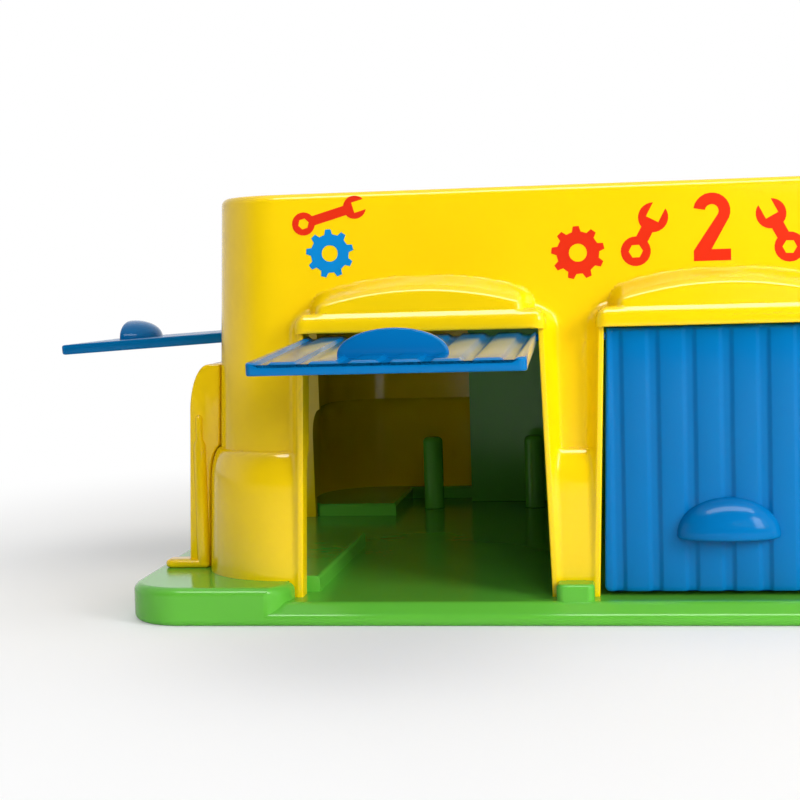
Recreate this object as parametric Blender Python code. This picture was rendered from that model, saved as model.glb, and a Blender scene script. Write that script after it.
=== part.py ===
"""Toy parking garage: green base, yellow shell, five blue up-and-over doors.

Metres, +Z up. The origin is the centre of the base's underside. The front with
its three bays faces -Y, and each end has one bay, so +X is the right-hand end.
The doors of the front left bay and of the left-hand end bay stand open.
"""
import math

import bpy
import bmesh
from mathutils import Matrix, Vector

# Heights above the table
PLINTH_HEIGHT = 0.0197
FLOOR_HEIGHT = 0.0113
LIP_HEIGHT = 0.0057
BELT_HEIGHT = 0.0865
SHOULDER_HEIGHT = 0.0180
LINTEL_HEIGHT = 0.1477
WALL_TOP_HEIGHT = 0.2159
ROOF_THICKNESS = 0.0040

# Gaps between touching pieces, and the overrun of a cut past its faces
SEAM = 0.0003
FIT_GAP = 0.0003
OVERRUN = 0.0040

# Doorways: half width at the lintel, and how much it grows towards the floor
OPENING_HALF_TOP = 0.0600
OPENING_DRAFT_SHARE = 0.0328
PILLAR_WIDTH = 0.02405
FRONT_BAYS = (-1, 0, 1)
END_BAY_SET_BACK = 0.0330

# Raised frame round each doorway
FRAME_PROUD = 0.0008
FRAME_STRIP = 0.0030
FRAME_ROUND = 0.0030
FRAME_SIDE_SHARE = 0.15
FRAME_DEPTH = 0.0125
FRAME_HEAD = 0.0053
FRAME_MARGIN = 0.0024

# Shell, measured at the foot of its skirt
FOOT_HALF_DEPTH = 0.2012
FOOT_CORNER_RADIUS = 0.0500
WALL_THICKNESS = 0.0030
BELT_STEP = 0.0053
WALL_DRAFT_SHARE = 0.0374

# Hood over each bay
HOOD_HALF_WIDTH = 0.0640
HOOD_PROUD = 0.0060
HOOD_BAND = 0.0098
HOOD_ARCH_RISE = 0.0184
HOOD_SHOULDER = 0.0028
HOOD_CANOPY_RECESS = 0.0032
HOOD_CREST_ROUND = 0.0070
HOOD_END_MARGIN = 0.0055
HOOD_ROOT_DEPTH = 0.0145
HOOD_CORNER = 0.0090
HOOD_STATIONS = 16

# Doors, drawn closed with the hinge axis as their origin
DOOR_PLATE = 0.0062
DOOR_EDGE_ROUND = 0.0009
DOOR_GROOVE_DEPTH = 0.0011
DOOR_GROOVE_WIDTH = 0.0060
DOOR_GROOVE_FLOOR_WIDTH = 0.0036
DOOR_GROOVE_PITCH = 0.01812
DOOR_GROOVE_COUNT = 7
DOOR_RECESS = 0.0013
DOOR_HEAD_REACH = 0.0042
DOOR_HEAD_ROUND = 0.0024
DOOR_SIDE_GAP = 0.0010
DOOR_HEAD_GAP = 0.0049
DOOR_FOOT_GAP = 0.0023
DOOR_DRAFT_SHARE = 0.0235
DOOR_CORNER = 0.0030
PIN_RADIUS = 0.0018
PIN_REACH = 0.0030
PIN_CLEARANCE = 0.0003
PIN_END_GAP = 0.0004
OPEN_ANGLE = math.radians(87.0)

# Handle on each door
HANDLE_HALF_WIDTH = 0.0256
HANDLE_HEIGHT = 0.0205
HANDLE_PROUD = 0.0118
HANDLE_ABOVE_FOOT = 0.0270
HANDLE_ROOT = 0.0016
HANDLE_LIP = 0.0016
HANDLE_UNDERSIDE_SHARE = 0.93

# Base: ledges round the shell, and round edges
FRONT_LEDGE = 0.0218
END_LEDGE = 0.0317
BASE_CORNER_RADIUS = 0.0300
BASE_TOP_ROUND = 0.0030
BASE_FOOT_ROUND = 0.0035

# Base: hall floor, the pads between bays and the flared ends of the plinth
CURB_STEP = 0.0060
REAR_PLINTH = 0.0310
RAMP_RUN = 0.0080
PAD_CLEARANCE = 0.0025
FLARE_CLEARANCE = 0.0041
FLARE_WIDTH = 0.0185

# Base: ribs below the floor
FLOOR_SKIN = 0.0033
RIB_THICKNESS = 0.0030
RIM_THICKNESS = 0.0060
RIB_CELLS_X = 10
RIB_CELLS_Y = 8

# Rear partition
PARTITION_HALF_WIDTH = 0.1650
PARTITION_FROM_REAR = 0.0332
PARTITION_THICKNESS = 0.0030
PARTITION_TOP = 0.1980
PARTITION_RETURN = 0.0100

# Stop posts with their screws
POST_RADIUS = 0.0074
POST_TOP = 0.0623
POST_TOP_ROUND = 0.0037
POST_SPREAD = 0.0360
POST_FROM_PARTITION = 0.0300
BOSS_RADIUS = 0.0055
SCREW_HEAD_RADIUS = 0.0030
SCREW_HEAD_THICKNESS = 0.0018
SCREW_HEAD_SINK = 0.0012
SCREW_RADIUS = 0.0013
SCREW_LENGTH = 0.0220
SCREW_CLEARANCE = 0.0003

# Roof
ROOF_RIM_DEPTH = 0.0060
ROOF_RIM_THICKNESS = 0.0025
ROOF_PLATE = 0.0028
ROOF_PANEL_MARGIN = 0.0160
ROOF_PANEL_DEPTH = 0.0008

# Fuel pump beside the front left column
PUMP_PAST_COLUMN = 0.0058
PUMP_DEPTH = 0.0460
PUMP_TOP = 0.1310
PUMP_FOOT_THICKNESS = 0.0045
PUMP_FOOT_REACH = 0.0255
PUMP_BODY_REACH = 0.0120
PUMP_TOP_REACH = 0.0090
PUMP_WALL_GAP = 0.0006
PUMP_TOP_ROUND = 0.0280
PUMP_FOOT_SPREAD = 0.0030
PUMP_FOOT_DEPTH = 0.0080
NOZZLE_RADIUS = 0.0034
NOZZLE_TIP_RADIUS = 0.0019
NOZZLE_FROM_WALL = 0.0040
NOZZLE_SHOULDER = 0.0868
NOZZLE_TOP = 0.1035

# Counts of facets on round work
CORNER_FACETS = 10
EDGE_FACETS = 3
ROUND_FACETS = 5
PIN_FACETS = 12
POST_FACETS = 20
HANDLE_FACETS = 12

# Sides as quarter turns from the front, seen from above
FRONT, RIGHT, REAR, LEFT = 0, 1, 2, 3

# Names of the front bays, and of the two posts in each
BAY_NAMES = ("left", "center", "right")
POST_NAMES = ("a", "b")

# Sizes worked out from those above
OPENING_HALF_FOOT = OPENING_HALF_TOP + (LINTEL_HEIGHT - FLOOR_HEIGHT) * OPENING_DRAFT_SHARE
BAY_PITCH = 2 * OPENING_HALF_FOOT + PILLAR_WIDTH
FRAME_WIDTH = FRAME_STRIP + FRAME_ROUND + (FRAME_DEPTH - FRAME_ROUND) * FRAME_SIDE_SHARE
FRONT_STRAIGHT_HALF = BAY_PITCH + OPENING_HALF_FOOT + FRAME_WIDTH + FRAME_MARGIN
FOOT_HALF_WIDTH = FRONT_STRAIGHT_HALF + FOOT_CORNER_RADIUS
BASE_HALF_WIDTH = FOOT_HALF_WIDTH + END_LEDGE
BASE_HALF_DEPTH = FOOT_HALF_DEPTH + FRONT_LEDGE
WALL_FOOT = PLINTH_HEIGHT + FIT_GAP
HINGE_HEIGHT = LINTEL_HEIGHT - DOOR_HEAD_GAP
DOOR_FOOT = FLOOR_HEIGHT + DOOR_FOOT_GAP
HINGE_DEPTH = DOOR_RECESS + DOOR_PLATE / 2
HALL_HALF_WIDTH = BAY_PITCH + OPENING_HALF_FOOT - CURB_STEP
PAD_SIDE = OPENING_HALF_FOOT + PAD_CLEARANCE
FLARE_START = OPENING_HALF_FOOT + FLARE_CLEARANCE
PARTITION_FRONT = FOOT_HALF_DEPTH - PARTITION_FROM_REAR


def clear_scene():
    for old in list(bpy.data.objects):
        bpy.data.objects.remove(old, do_unlink=True)


def plastic(name, colour, roughness):
    """A moulded plastic of one colour."""
    mat = bpy.data.materials.new(name)
    mat.use_nodes = True
    shader = mat.node_tree.nodes["Principled BSDF"]
    shader.inputs["Base Color"].default_value = (*colour, 1.0)
    shader.inputs["Roughness"].default_value = roughness
    shader.inputs["Metallic"].default_value = 0.0
    return mat


def metal(name, colour, roughness):
    mat = plastic(name, colour, roughness)
    mat.node_tree.nodes["Principled BSDF"].inputs["Metallic"].default_value = 1.0
    return mat


def add_object(name, mesh, mat):
    obj = bpy.data.objects.new(name, mesh)
    bpy.context.scene.collection.objects.link(obj)
    mesh.materials.append(mat)
    return obj


def as_cutter(obj):
    obj.hide_render = True
    obj.display_type = "WIRE"
    return obj


def loft_into(bm, rings):
    """Adds a closed body through rings of points, with a face on each end."""
    rows = [[bm.verts.new(p) for p in ring] for ring in rings]
    count = len(rows[0])
    for low, high in zip(rows, rows[1:]):
        for i in range(count):
            j = (i + 1) % count
            bm.faces.new((low[i], low[j], high[j], high[i]))
    bm.faces.new(rows[0][::-1])
    bm.faces.new(rows[-1])


def solid(name, bodies, mat, round_angle=None):
    """One object from several lofted bodies, each a list of rings."""
    bm = bmesh.new()
    for rings in bodies:
        loft_into(bm, rings)
    bmesh.ops.recalc_face_normals(bm, faces=bm.faces)
    mesh = bpy.data.meshes.new(name)
    bm.to_mesh(mesh)
    bm.free()
    if round_angle:
        mesh.shade_smooth()
        mesh.set_sharp_from_angle(angle=round_angle)
    return add_object(name, mesh, mat)


def cutter(name, bodies, mat):
    return as_cutter(solid(name, bodies, mat))


def boolean(target, other, operation):
    mod = target.modifiers.new(other.name, "BOOLEAN")
    mod.operation = operation
    mod.solver = "EXACT"
    mod.object = other


def turned(points, side):
    """Turns points drawn for the front wall onto another side."""
    spin = Matrix.Rotation(side * math.pi / 2, 3, "Z")
    return [spin @ Vector(p) for p in points]


def quarter(facets):
    """Steps of a round edge, as (1 - cos, sin) of angles up to a right angle."""
    angles = [i / facets * math.pi / 2 for i in range(facets + 1)]
    return [(1 - math.cos(a), math.sin(a)) for a in angles]


def box_rings(low, high):
    x0, y0, z0 = low
    x1, y1, z1 = high
    plan = ((x0, y0), (x1, y0), (x1, y1), (x0, y1))
    return [[(x, y, z) for x, y in plan] for z in (z0, z1)]


def circle(centre, radius, height, facets, axis="Z"):
    """One ring about a line through centre, along Z or X."""
    ring = []
    for i in range(facets):
        a = 2 * math.pi * (i + 0.5) / facets
        u = centre[0] + radius * math.cos(a)
        v = centre[1] + radius * math.sin(a)
        ring.append((u, v, height) if axis == "Z" else (height, u, v))
    return ring


def cylinder_rings(centre, radius, low, high, facets, axis="Z"):
    return [circle(centre, radius, t, facets, axis) for t in (low, high)]


def rounded_plan(half_x, half_y, radius, z, facets=CORNER_FACETS):
    """One ring round a rectangle with round corners."""
    ring = []
    for turn, (sx, sy) in enumerate(((1, 1), (-1, 1), (-1, -1), (1, -1))):
        for i in range(facets + 1):
            a = (turn + i / facets) * math.pi / 2
            x = sx * (half_x - radius) + radius * math.cos(a)
            y = sy * (half_y - radius) + radius * math.sin(a)
            ring.append((x, y, z))
    return ring


def foot_distance(side):
    """From the centre to the skirt's foot on one side."""
    return FOOT_HALF_DEPTH if side in (FRONT, REAR) else FOOT_HALF_WIDTH


def frame_plane(side):
    """From the centre to the front of the doorway frames on one side."""
    return foot_distance(side) + FRAME_PROUD


def base_distance(side):
    return BASE_HALF_DEPTH if side in (FRONT, REAR) else BASE_HALF_WIDTH


def straight_half(side):
    """Half the straight run of a wall between its two corner columns."""
    if side in (FRONT, REAR):
        return FRONT_STRAIGHT_HALF
    return FOOT_HALF_DEPTH - FOOT_CORNER_RADIUS


def opening_half(z):
    return OPENING_HALF_TOP + (LINTEL_HEIGHT - z) * OPENING_DRAFT_SHARE


def wall_set_back(z):
    """How far the wall's outer face lies inside the skirt's foot at a height."""
    set_back = (z - WALL_FOOT) * WALL_DRAFT_SHARE
    if z >= BELT_HEIGHT:
        return set_back + BELT_STEP
    above = z - (BELT_HEIGHT - SHOULDER_HEIGHT)
    if above > 0:
        turn = above / SHOULDER_HEIGHT
        set_back += BELT_STEP * (1 - math.sqrt(1 - turn * turn))
    return set_back


def wall_section():
    """Closed section of the shell as (set-back, height), outer face first."""
    low = BELT_HEIGHT - SHOULDER_HEIGHT
    shoulder = [low + rise * SHOULDER_HEIGHT for _, rise in quarter(ROUND_FACETS)[:-1]]
    heights = [WALL_FOOT] + shoulder + [BELT_HEIGHT, WALL_TOP_HEIGHT - SEAM]
    outer = [(wall_set_back(z), z) for z in heights]
    inner = [(b + WALL_THICKNESS, z) for b, z in reversed(outer)]
    return outer + inner


def wall_panel_rings(side):
    """A straight wall from one corner column to the next."""
    half = straight_half(side) - SEAM / 2
    distance = foot_distance(side)
    section = wall_section()
    return [turned([(x, b - distance, z) for b, z in section], side) for x in (-half, half)]


def column_rings(side):
    """The quarter-round column at the left end of a side, seen from outside."""
    centre_x = -straight_half(side)
    centre_y = FOOT_CORNER_RADIUS - foot_distance(side)
    margin = SEAM / 2 / FOOT_CORNER_RADIUS
    section = wall_section()
    rings = []
    for i in range(CORNER_FACETS + 1):
        a = margin + (math.pi / 2 - 2 * margin) * i / CORNER_FACETS
        ring = []
        for b, z in section:
            r = FOOT_CORNER_RADIUS - b
            ring.append((centre_x - r * math.sin(a), centre_y - r * math.cos(a), z))
        rings.append(turned(ring, side))
    return rings


def frame_rings(centre, side):
    """A doorway's raised frame, as a full block before the doorway is cut."""
    plane = frame_plane(side)
    low = FLOOR_HEIGHT + FIT_GAP
    head = LINTEL_HEIGHT + FRAME_HEAD
    steps = [(FRAME_ROUND * back, FRAME_ROUND * out) for back, out in quarter(EDGE_FACETS)]
    steps.append((FRAME_DEPTH, FRAME_WIDTH - FRAME_STRIP))
    rings = []
    for depth, out in steps:
        foot = opening_half(low) + FRAME_STRIP + out
        top = opening_half(head) + FRAME_STRIP + out
        outline = ((-foot, low), (foot, low), (top, head + out), (-top, head + out))
        rings.append(turned([(centre + x, depth - plane, z) for x, z in outline], side))
    return rings


def doorway_rings(centre, side):
    """The doorway itself, from in front of the hood to behind the wall."""
    plane = frame_plane(side)
    low = FLOOR_HEIGHT - OVERRUN
    foot = opening_half(low)
    outline = ((-foot, low), (foot, low), (OPENING_HALF_TOP, LINTEL_HEIGHT), (-OPENING_HALF_TOP, LINTEL_HEIGHT))
    rings = []
    for depth in (-HOOD_PROUD - OVERRUN, FRAME_DEPTH + WALL_THICKNESS + OVERRUN):
        rings.append(turned([(centre + x, depth - plane, z) for x, z in outline], side))
    return rings


def hood_crown(x):
    """Height of the canopy's outline above the band at a distance from the bay's centre."""
    half = HOOD_HALF_WIDTH - HOOD_END_MARGIN
    radius = (half * half + HOOD_ARCH_RISE * HOOD_ARCH_RISE / 4) / HOOD_ARCH_RISE
    crown = HOOD_ARCH_RISE - (radius - math.sqrt(radius * radius - x * x))
    from_end = max(half - abs(x), 0)
    if from_end < HOOD_CORNER:
        turn = 1 - from_end / HOOD_CORNER
        crown -= HOOD_CORNER * (1 - math.sqrt(1 - turn * turn))
    return max(crown, HOOD_SHOULDER / 4)


def hood_rings(centre, side):
    """A vaulted hood: an upright band, and a canopy that arches back to the wall."""
    plane = frame_plane(side)
    band_top = LINTEL_HEIGHT + HOOD_BAND
    canopy_front = HOOD_CANOPY_RECESS - HOOD_PROUD
    rings = []
    for i in range(HOOD_STATIONS + 1):
        x = -HOOD_HALF_WIDTH * math.cos(i / HOOD_STATIONS * math.pi)
        crown = hood_crown(x)
        crest = min(HOOD_CREST_ROUND, crown)
        section = [(HOOD_ROOT_DEPTH, LINTEL_HEIGHT)]
        for out, rise in quarter(EDGE_FACETS):
            section.append((HOOD_SHOULDER * out - HOOD_PROUD, band_top - HOOD_SHOULDER * (1 - rise)))
        for out, rise in quarter(EDGE_FACETS):
            depth = canopy_front + (HOOD_ROOT_DEPTH - canopy_front) * out
            section.append((depth, band_top + crown - crest * (1 - rise)))
        rings.append(turned([(centre + x, y - plane, z) for y, z in section], side))
    return rings


def pin_bore_rings(centre, side):
    """The bore that carries both pins of a door."""
    reach = OPENING_HALF_TOP + PIN_REACH + PIN_END_GAP
    at = (HINGE_DEPTH - frame_plane(side), HINGE_HEIGHT)
    rings = cylinder_rings(at, PIN_RADIUS + PIN_CLEARANCE, centre - reach, centre + reach, PIN_FACETS, "X")
    return [turned(ring, side) for ring in rings]


def build_wall(name, side, centres, mat):
    """A straight wall with its doorways, frames and hoods."""
    wall = solid(name, [wall_panel_rings(side)], mat)
    if not centres:
        return wall
    boolean(wall, cutter(name + ".frames", [frame_rings(c, side) for c in centres], mat), "UNION")
    boolean(wall, cutter(name + ".hoods", [hood_rings(c, side) for c in centres], mat), "UNION")
    boolean(wall, cutter(name + ".doorways", [doorway_rings(c, side) for c in centres], mat), "DIFFERENCE")
    boolean(wall, cutter(name + ".bores", [pin_bore_rings(c, side) for c in centres], mat), "DIFFERENCE")
    return wall


def build_column(name, side, mat):
    return solid(name, [column_rings(side)], mat, math.radians(30))


def roof_ring(extra, z):
    """A ring round the roof, drawn in from the walls' top edge by an extra inset."""
    inset = wall_set_back(WALL_TOP_HEIGHT) + extra
    radius = FOOT_CORNER_RADIUS - inset
    return rounded_plan(FOOT_HALF_WIDTH - inset, FOOT_HALF_DEPTH - inset, radius, z)


def build_roof(mat):
    """A lid with a round edge, a rim inside the walls and a sunk deck."""
    lid = []
    for inset, rise in quarter(EDGE_FACETS):
        lid.append(roof_ring(ROOF_THICKNESS * inset, WALL_TOP_HEIGHT + ROOF_THICKNESS * rise))
    roof = solid("roof", [lid], mat, math.radians(30))
    seat = WALL_THICKNESS + FIT_GAP
    rim_foot = WALL_TOP_HEIGHT - ROOF_RIM_DEPTH
    deck = WALL_TOP_HEIGHT + ROOF_THICKNESS - ROOF_PANEL_DEPTH
    rim = [roof_ring(seat, z) for z in (rim_foot, WALL_TOP_HEIGHT + ROOF_PLATE / 2)]
    hollow = [roof_ring(seat + ROOF_RIM_THICKNESS, z) for z in (rim_foot - OVERRUN, deck - ROOF_PLATE)]
    panel = [roof_ring(ROOF_PANEL_MARGIN, z) for z in (deck, deck + OVERRUN)]
    boolean(roof, cutter("roof.rim", [rim], mat), "UNION")
    boolean(roof, cutter("roof.hollow", [hollow], mat), "DIFFERENCE")
    boolean(roof, cutter("roof.panel", [panel], mat), "DIFFERENCE")
    return roof


def flare_points(sign, plane, edge):
    """The round end of a plinth beside a bay, from the frame out past the base's edge."""
    points = []
    for out, along in quarter(ROUND_FACETS):
        points.append((sign * (FLARE_START + FLARE_WIDTH * out), plane + (edge - plane) * along))
    return points


def clipped(points, limit, keep_inner):
    """The part of a flare inside or outside a distance from the centre."""
    kept = []
    for (x0, y0), (x1, y1) in zip(points, points[1:]):
        inside0 = (y0 <= limit) == keep_inner
        inside1 = (y1 <= limit) == keep_inner
        if inside0:
            kept.append((x0, y0))
        if inside0 != inside1:
            t = (limit - y0) / (y1 - y0)
            kept.append((x0 + (x1 - x0) * t, limit))
    if (points[-1][1] <= limit) == keep_inner:
        kept.append(points[-1])
    return kept


def throat_bodies(side, centres):
    """Cutters for the level floor in and before the doorways of one side."""
    plane = frame_plane(side)
    edge = base_distance(side) + OVERRUN
    flat_end = base_distance(side) - RAMP_RUN
    leg = OPENING_HALF_FOOT + FRAME_WIDTH + FIT_GAP
    start = plane - FRAME_DEPTH - FIT_GAP
    inner = plane - FRAME_DEPTH - OVERRUN
    top = PLINTH_HEIGHT + OVERRUN
    bodies = []
    for c in centres:
        left = [(-PAD_SIDE, plane), (-PAD_SIDE, edge)]
        right = [(PAD_SIDE, plane), (PAD_SIDE, edge)]
        if c == min(centres):
            left = flare_points(-1, plane, edge)
        if c == max(centres):
            right = flare_points(1, plane, edge)
        ring = clipped(left, flat_end, True) + clipped(right, flat_end, True)[::-1]
        plan = [(c + x, -y) for x, y in ring]
        leg_zone = box_rings((c - leg, -plane - FIT_GAP, FLOOR_HEIGHT), (c + leg, -start, top))
        hall_link = box_rings((c - PAD_SIDE, -start - FIT_GAP, FLOOR_HEIGHT), (c + PAD_SIDE, -inner, top))
        throat = [[(x, y, z) for x, y in plan] for z in (FLOOR_HEIGHT, top)]
        bodies += [[turned(r, side) for r in rings] for rings in (throat, leg_zone, hall_link)]
    return bodies


def ramp_body(side, centres):
    """The cutter that slopes the apron of one side down to the lip."""
    plane = frame_plane(side)
    edge = base_distance(side) + OVERRUN
    flat_end = base_distance(side) - RAMP_RUN
    fall_share = (FLOOR_HEIGHT - LIP_HEIGHT) / RAMP_RUN
    top = PLINTH_HEIGHT + OVERRUN
    left = clipped(flare_points(-1, plane, edge), flat_end - FIT_GAP, False)
    right = clipped(flare_points(1, plane, edge), flat_end - FIT_GAP, False)
    plan = [(min(centres) + x, -y) for x, y in left]
    plan += [(max(centres) + x, -y) for x, y in right[::-1]]
    low = [(x, y, FLOOR_HEIGHT + (flat_end + y) * fall_share) for x, y in plan]
    high = [(x, y, top) for x, y in plan]
    return [turned(low, side), turned(high, side)]


def bay_centres(side):
    """Centres of the bays along one side, as seen from outside."""
    if side == FRONT:
        return [bay * BAY_PITCH for bay in FRONT_BAYS]
    return [END_BAY_SET_BACK if side == RIGHT else -END_BAY_SET_BACK]


def post_places():
    """Plan places of the stop posts, two to each front bay."""
    y = PARTITION_FRONT - POST_FROM_PARTITION
    return [[(c - POST_SPREAD, y), (c + POST_SPREAD, y)] for c in bay_centres(FRONT)]


def rib_cell_bodies():
    """The cells between the ribs under the floor, left out at the round corners."""
    width = 2 * (BASE_HALF_WIDTH - RIM_THICKNESS) / RIB_CELLS_X
    depth = 2 * (BASE_HALF_DEPTH - RIM_THICKNESS) / RIB_CELLS_Y
    top = FLOOR_HEIGHT - FLOOR_SKIN
    edge = RIB_THICKNESS / 2
    bodies = []
    for i in range(RIB_CELLS_X):
        for j in range(RIB_CELLS_Y):
            if i in (0, RIB_CELLS_X - 1) and j in (0, RIB_CELLS_Y - 1):
                continue
            x = -BASE_HALF_WIDTH + RIM_THICKNESS + i * width
            y = -BASE_HALF_DEPTH + RIM_THICKNESS + j * depth
            low = (x + edge, y + edge, -OVERRUN)
            bodies.append(box_rings(low, (x + width - edge, y + depth - edge, top)))
    return bodies


def base_ring(inset, z):
    radius = BASE_CORNER_RADIUS - inset
    return rounded_plan(BASE_HALF_WIDTH - inset, BASE_HALF_DEPTH - inset, radius, z)


def build_base(mat):
    """The base: plinth ring, sunk hall floor, aprons at the bays, ribs below."""
    rings = []
    for inset, rise in reversed(quarter(EDGE_FACETS)):
        rings.append(base_ring(BASE_FOOT_ROUND * inset, BASE_FOOT_ROUND * (1 - rise)))
    for inset, rise in quarter(EDGE_FACETS):
        rings.append(base_ring(BASE_TOP_ROUND * inset, PLINTH_HEIGHT - BASE_TOP_ROUND * (1 - rise)))
    base = solid("base", [rings], mat, math.radians(30))
    boolean(base, cutter("base.cells", rib_cell_bodies(), mat), "DIFFERENCE")
    bosses, holes = boss_bodies()
    boolean(base, cutter("base.bosses", bosses, mat), "UNION")
    for name, body in floor_bodies():
        boolean(base, cutter("base." + name, [body], mat), "DIFFERENCE")
    for i, body in enumerate(holes):
        boolean(base, cutter("base.hole_%d" % i, [body], mat), "DIFFERENCE")
    return base


def boss_bodies():
    """A boss below each stop post, with a hole for its screw and a sink for the head."""
    bosses = []
    holes = []
    sink = SCREW_HEAD_SINK + SCREW_HEAD_THICKNESS + SCREW_CLEARANCE
    for pair in post_places():
        for place in pair:
            bosses.append(cylinder_rings(place, BOSS_RADIUS, 0, FLOOR_HEIGHT - FLOOR_SKIN / 2, POST_FACETS))
            hole = SCREW_RADIUS + SCREW_CLEARANCE
            holes.append(cylinder_rings(place, hole, -OVERRUN, PLINTH_HEIGHT, PIN_FACETS))
            head = SCREW_HEAD_RADIUS + SCREW_CLEARANCE
            holes.append(cylinder_rings(place, head, -OVERRUN, sink, POST_FACETS))
    return bosses, holes


def floor_bodies():
    """Named cutters that sink the hall, the way to its end bays and the aprons."""
    top = PLINTH_HEIGHT + OVERRUN
    front = frame_plane(FRONT) - FRAME_DEPTH - FIT_GAP
    rear = BASE_HALF_DEPTH - REAR_PLINTH
    ends = foot_distance(LEFT) - OVERRUN
    near = END_BAY_SET_BACK - PAD_SIDE
    bodies = [
        ("hall", box_rings((-HALL_HALF_WIDTH, -front, FLOOR_HEIGHT), (HALL_HALF_WIDTH, rear, top))),
        ("crossing", box_rings((-ends, near, FLOOR_HEIGHT), (ends, near + 2 * PAD_SIDE, top))),
    ]
    for side in (FRONT, RIGHT, LEFT):
        centres = bay_centres(side)
        for i, body in enumerate(throat_bodies(side, centres)):
            bodies.append(("throat_%d_%d" % (side, i), body))
        bodies.append(("ramp_%d" % side, ramp_body(side, centres)))
    return bodies


def build_post(name, place, mat):
    """A short post that stops a car, with a pilot hole from below."""
    foot = FLOOR_HEIGHT + FIT_GAP
    rings = [circle(place, POST_RADIUS, foot, POST_FACETS)]
    for inset, rise in quarter(EDGE_FACETS):
        z = POST_TOP - POST_TOP_ROUND * (1 - rise)
        rings.append(circle(place, POST_RADIUS - POST_TOP_ROUND * inset, z, POST_FACETS))
    post = solid(name, [rings], mat, math.radians(40))
    depth = SCREW_HEAD_SINK + SCREW_LENGTH + OVERRUN / 2
    pilot = cylinder_rings(place, SCREW_RADIUS + SCREW_CLEARANCE, foot - OVERRUN, depth, PIN_FACETS)
    boolean(post, cutter(name + ".pilot", [pilot], mat), "DIFFERENCE")
    return post


def build_screw(name, place, mat):
    """The screw that holds a stop post from below."""
    neck = SCREW_HEAD_SINK + SCREW_HEAD_THICKNESS
    head = cylinder_rings(place, SCREW_HEAD_RADIUS, SCREW_HEAD_SINK, neck, PIN_FACETS)
    shank = cylinder_rings(place, SCREW_RADIUS, neck, SCREW_HEAD_SINK + SCREW_LENGTH, PIN_FACETS)
    return solid(name, [head + shank], mat)


def build_partition(mat):
    """The green wall that closes the back of the hall, with two returned edges."""
    y0 = PARTITION_FRONT
    y1 = y0 + PARTITION_THICKNESS
    y2 = y0 + PARTITION_RETURN
    w = PARTITION_HALF_WIDTH
    v = w - PARTITION_THICKNESS
    plan = ((-w, y0), (w, y0), (w, y2), (v, y2), (v, y1), (-v, y1), (-v, y2), (-w, y2))
    foot = FLOOR_HEIGHT + FIT_GAP
    return solid("rear_partition", [[[(x, y, z) for x, y in plan] for z in (foot, PARTITION_TOP)]], mat)


def pump_rings(front, back):
    """The pump's upright body, from the plinth to its round top."""
    wall = foot_distance(LEFT)
    shoulder = PUMP_TOP - PUMP_TOP_ROUND
    stations = [(z, 0) for z in (WALL_FOOT, BELT_HEIGHT - SHOULDER_HEIGHT, BELT_HEIGHT)]
    stations += [(shoulder + PUMP_TOP_ROUND * rise, inset) for inset, rise in quarter(ROUND_FACETS)]
    rings = []
    for z, inset_share in stations:
        taper_share = (z - WALL_FOOT) / (PUMP_TOP - WALL_FOOT)
        reach = PUMP_BODY_REACH + (PUMP_TOP_REACH - PUMP_BODY_REACH) * taper_share
        outer = -(wall + reach * (1 - inset_share))
        inner = -(wall + PUMP_WALL_GAP)
        if z >= BELT_HEIGHT:
            inner += BELT_STEP
        rings.append([(outer, front, z), (inner, front, z), (inner, back, z), (outer, back, z)])
    return rings


def build_pump(mat):
    """A slim fuel pump against the left wall, with its nozzle and a spread foot."""
    wall = foot_distance(LEFT)
    inner = -(wall + PUMP_WALL_GAP)
    front = -(straight_half(LEFT) + PUMP_PAST_COLUMN)
    back = front + PUMP_DEPTH
    pump = solid("fuel_pump", [pump_rings(front, back)], mat, math.radians(35))
    foot_back = front + PUMP_FOOT_DEPTH
    foot = []
    for inset, rise in quarter(EDGE_FACETS):
        outer = -(wall + PUMP_FOOT_REACH - PUMP_FOOT_THICKNESS * inset)
        spread = PUMP_FOOT_SPREAD * (1 - inset)
        z = WALL_FOOT + PUMP_FOOT_THICKNESS * rise
        foot.append([(outer, front - spread, z), (inner, front - spread, z),
                     (inner, foot_back + spread, z), (outer, foot_back + spread, z)])
    boolean(pump, cutter("fuel_pump.foot", [foot], mat), "UNION")
    at = (-(wall + NOZZLE_FROM_WALL), front)
    nozzle = [
        circle(at, NOZZLE_RADIUS, WALL_FOOT + PUMP_FOOT_THICKNESS / 3, PIN_FACETS),
        circle(at, NOZZLE_RADIUS, NOZZLE_SHOULDER, PIN_FACETS),
        circle(at, NOZZLE_TIP_RADIUS, NOZZLE_SHOULDER + NOZZLE_RADIUS, PIN_FACETS),
        circle(at, NOZZLE_TIP_RADIUS, NOZZLE_TOP - NOZZLE_TIP_RADIUS, PIN_FACETS),
        circle(at, NOZZLE_TIP_RADIUS / 2, NOZZLE_TOP, PIN_FACETS),
    ]
    boolean(pump, cutter("fuel_pump.nozzle", [nozzle], mat), "UNION")
    return pump


def door_half(z):
    """Half the door's width at a height in the closed door."""
    return OPENING_HALF_TOP - DOOR_SIDE_GAP + (LINTEL_HEIGHT - z) * DOOR_DRAFT_SHARE


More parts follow.
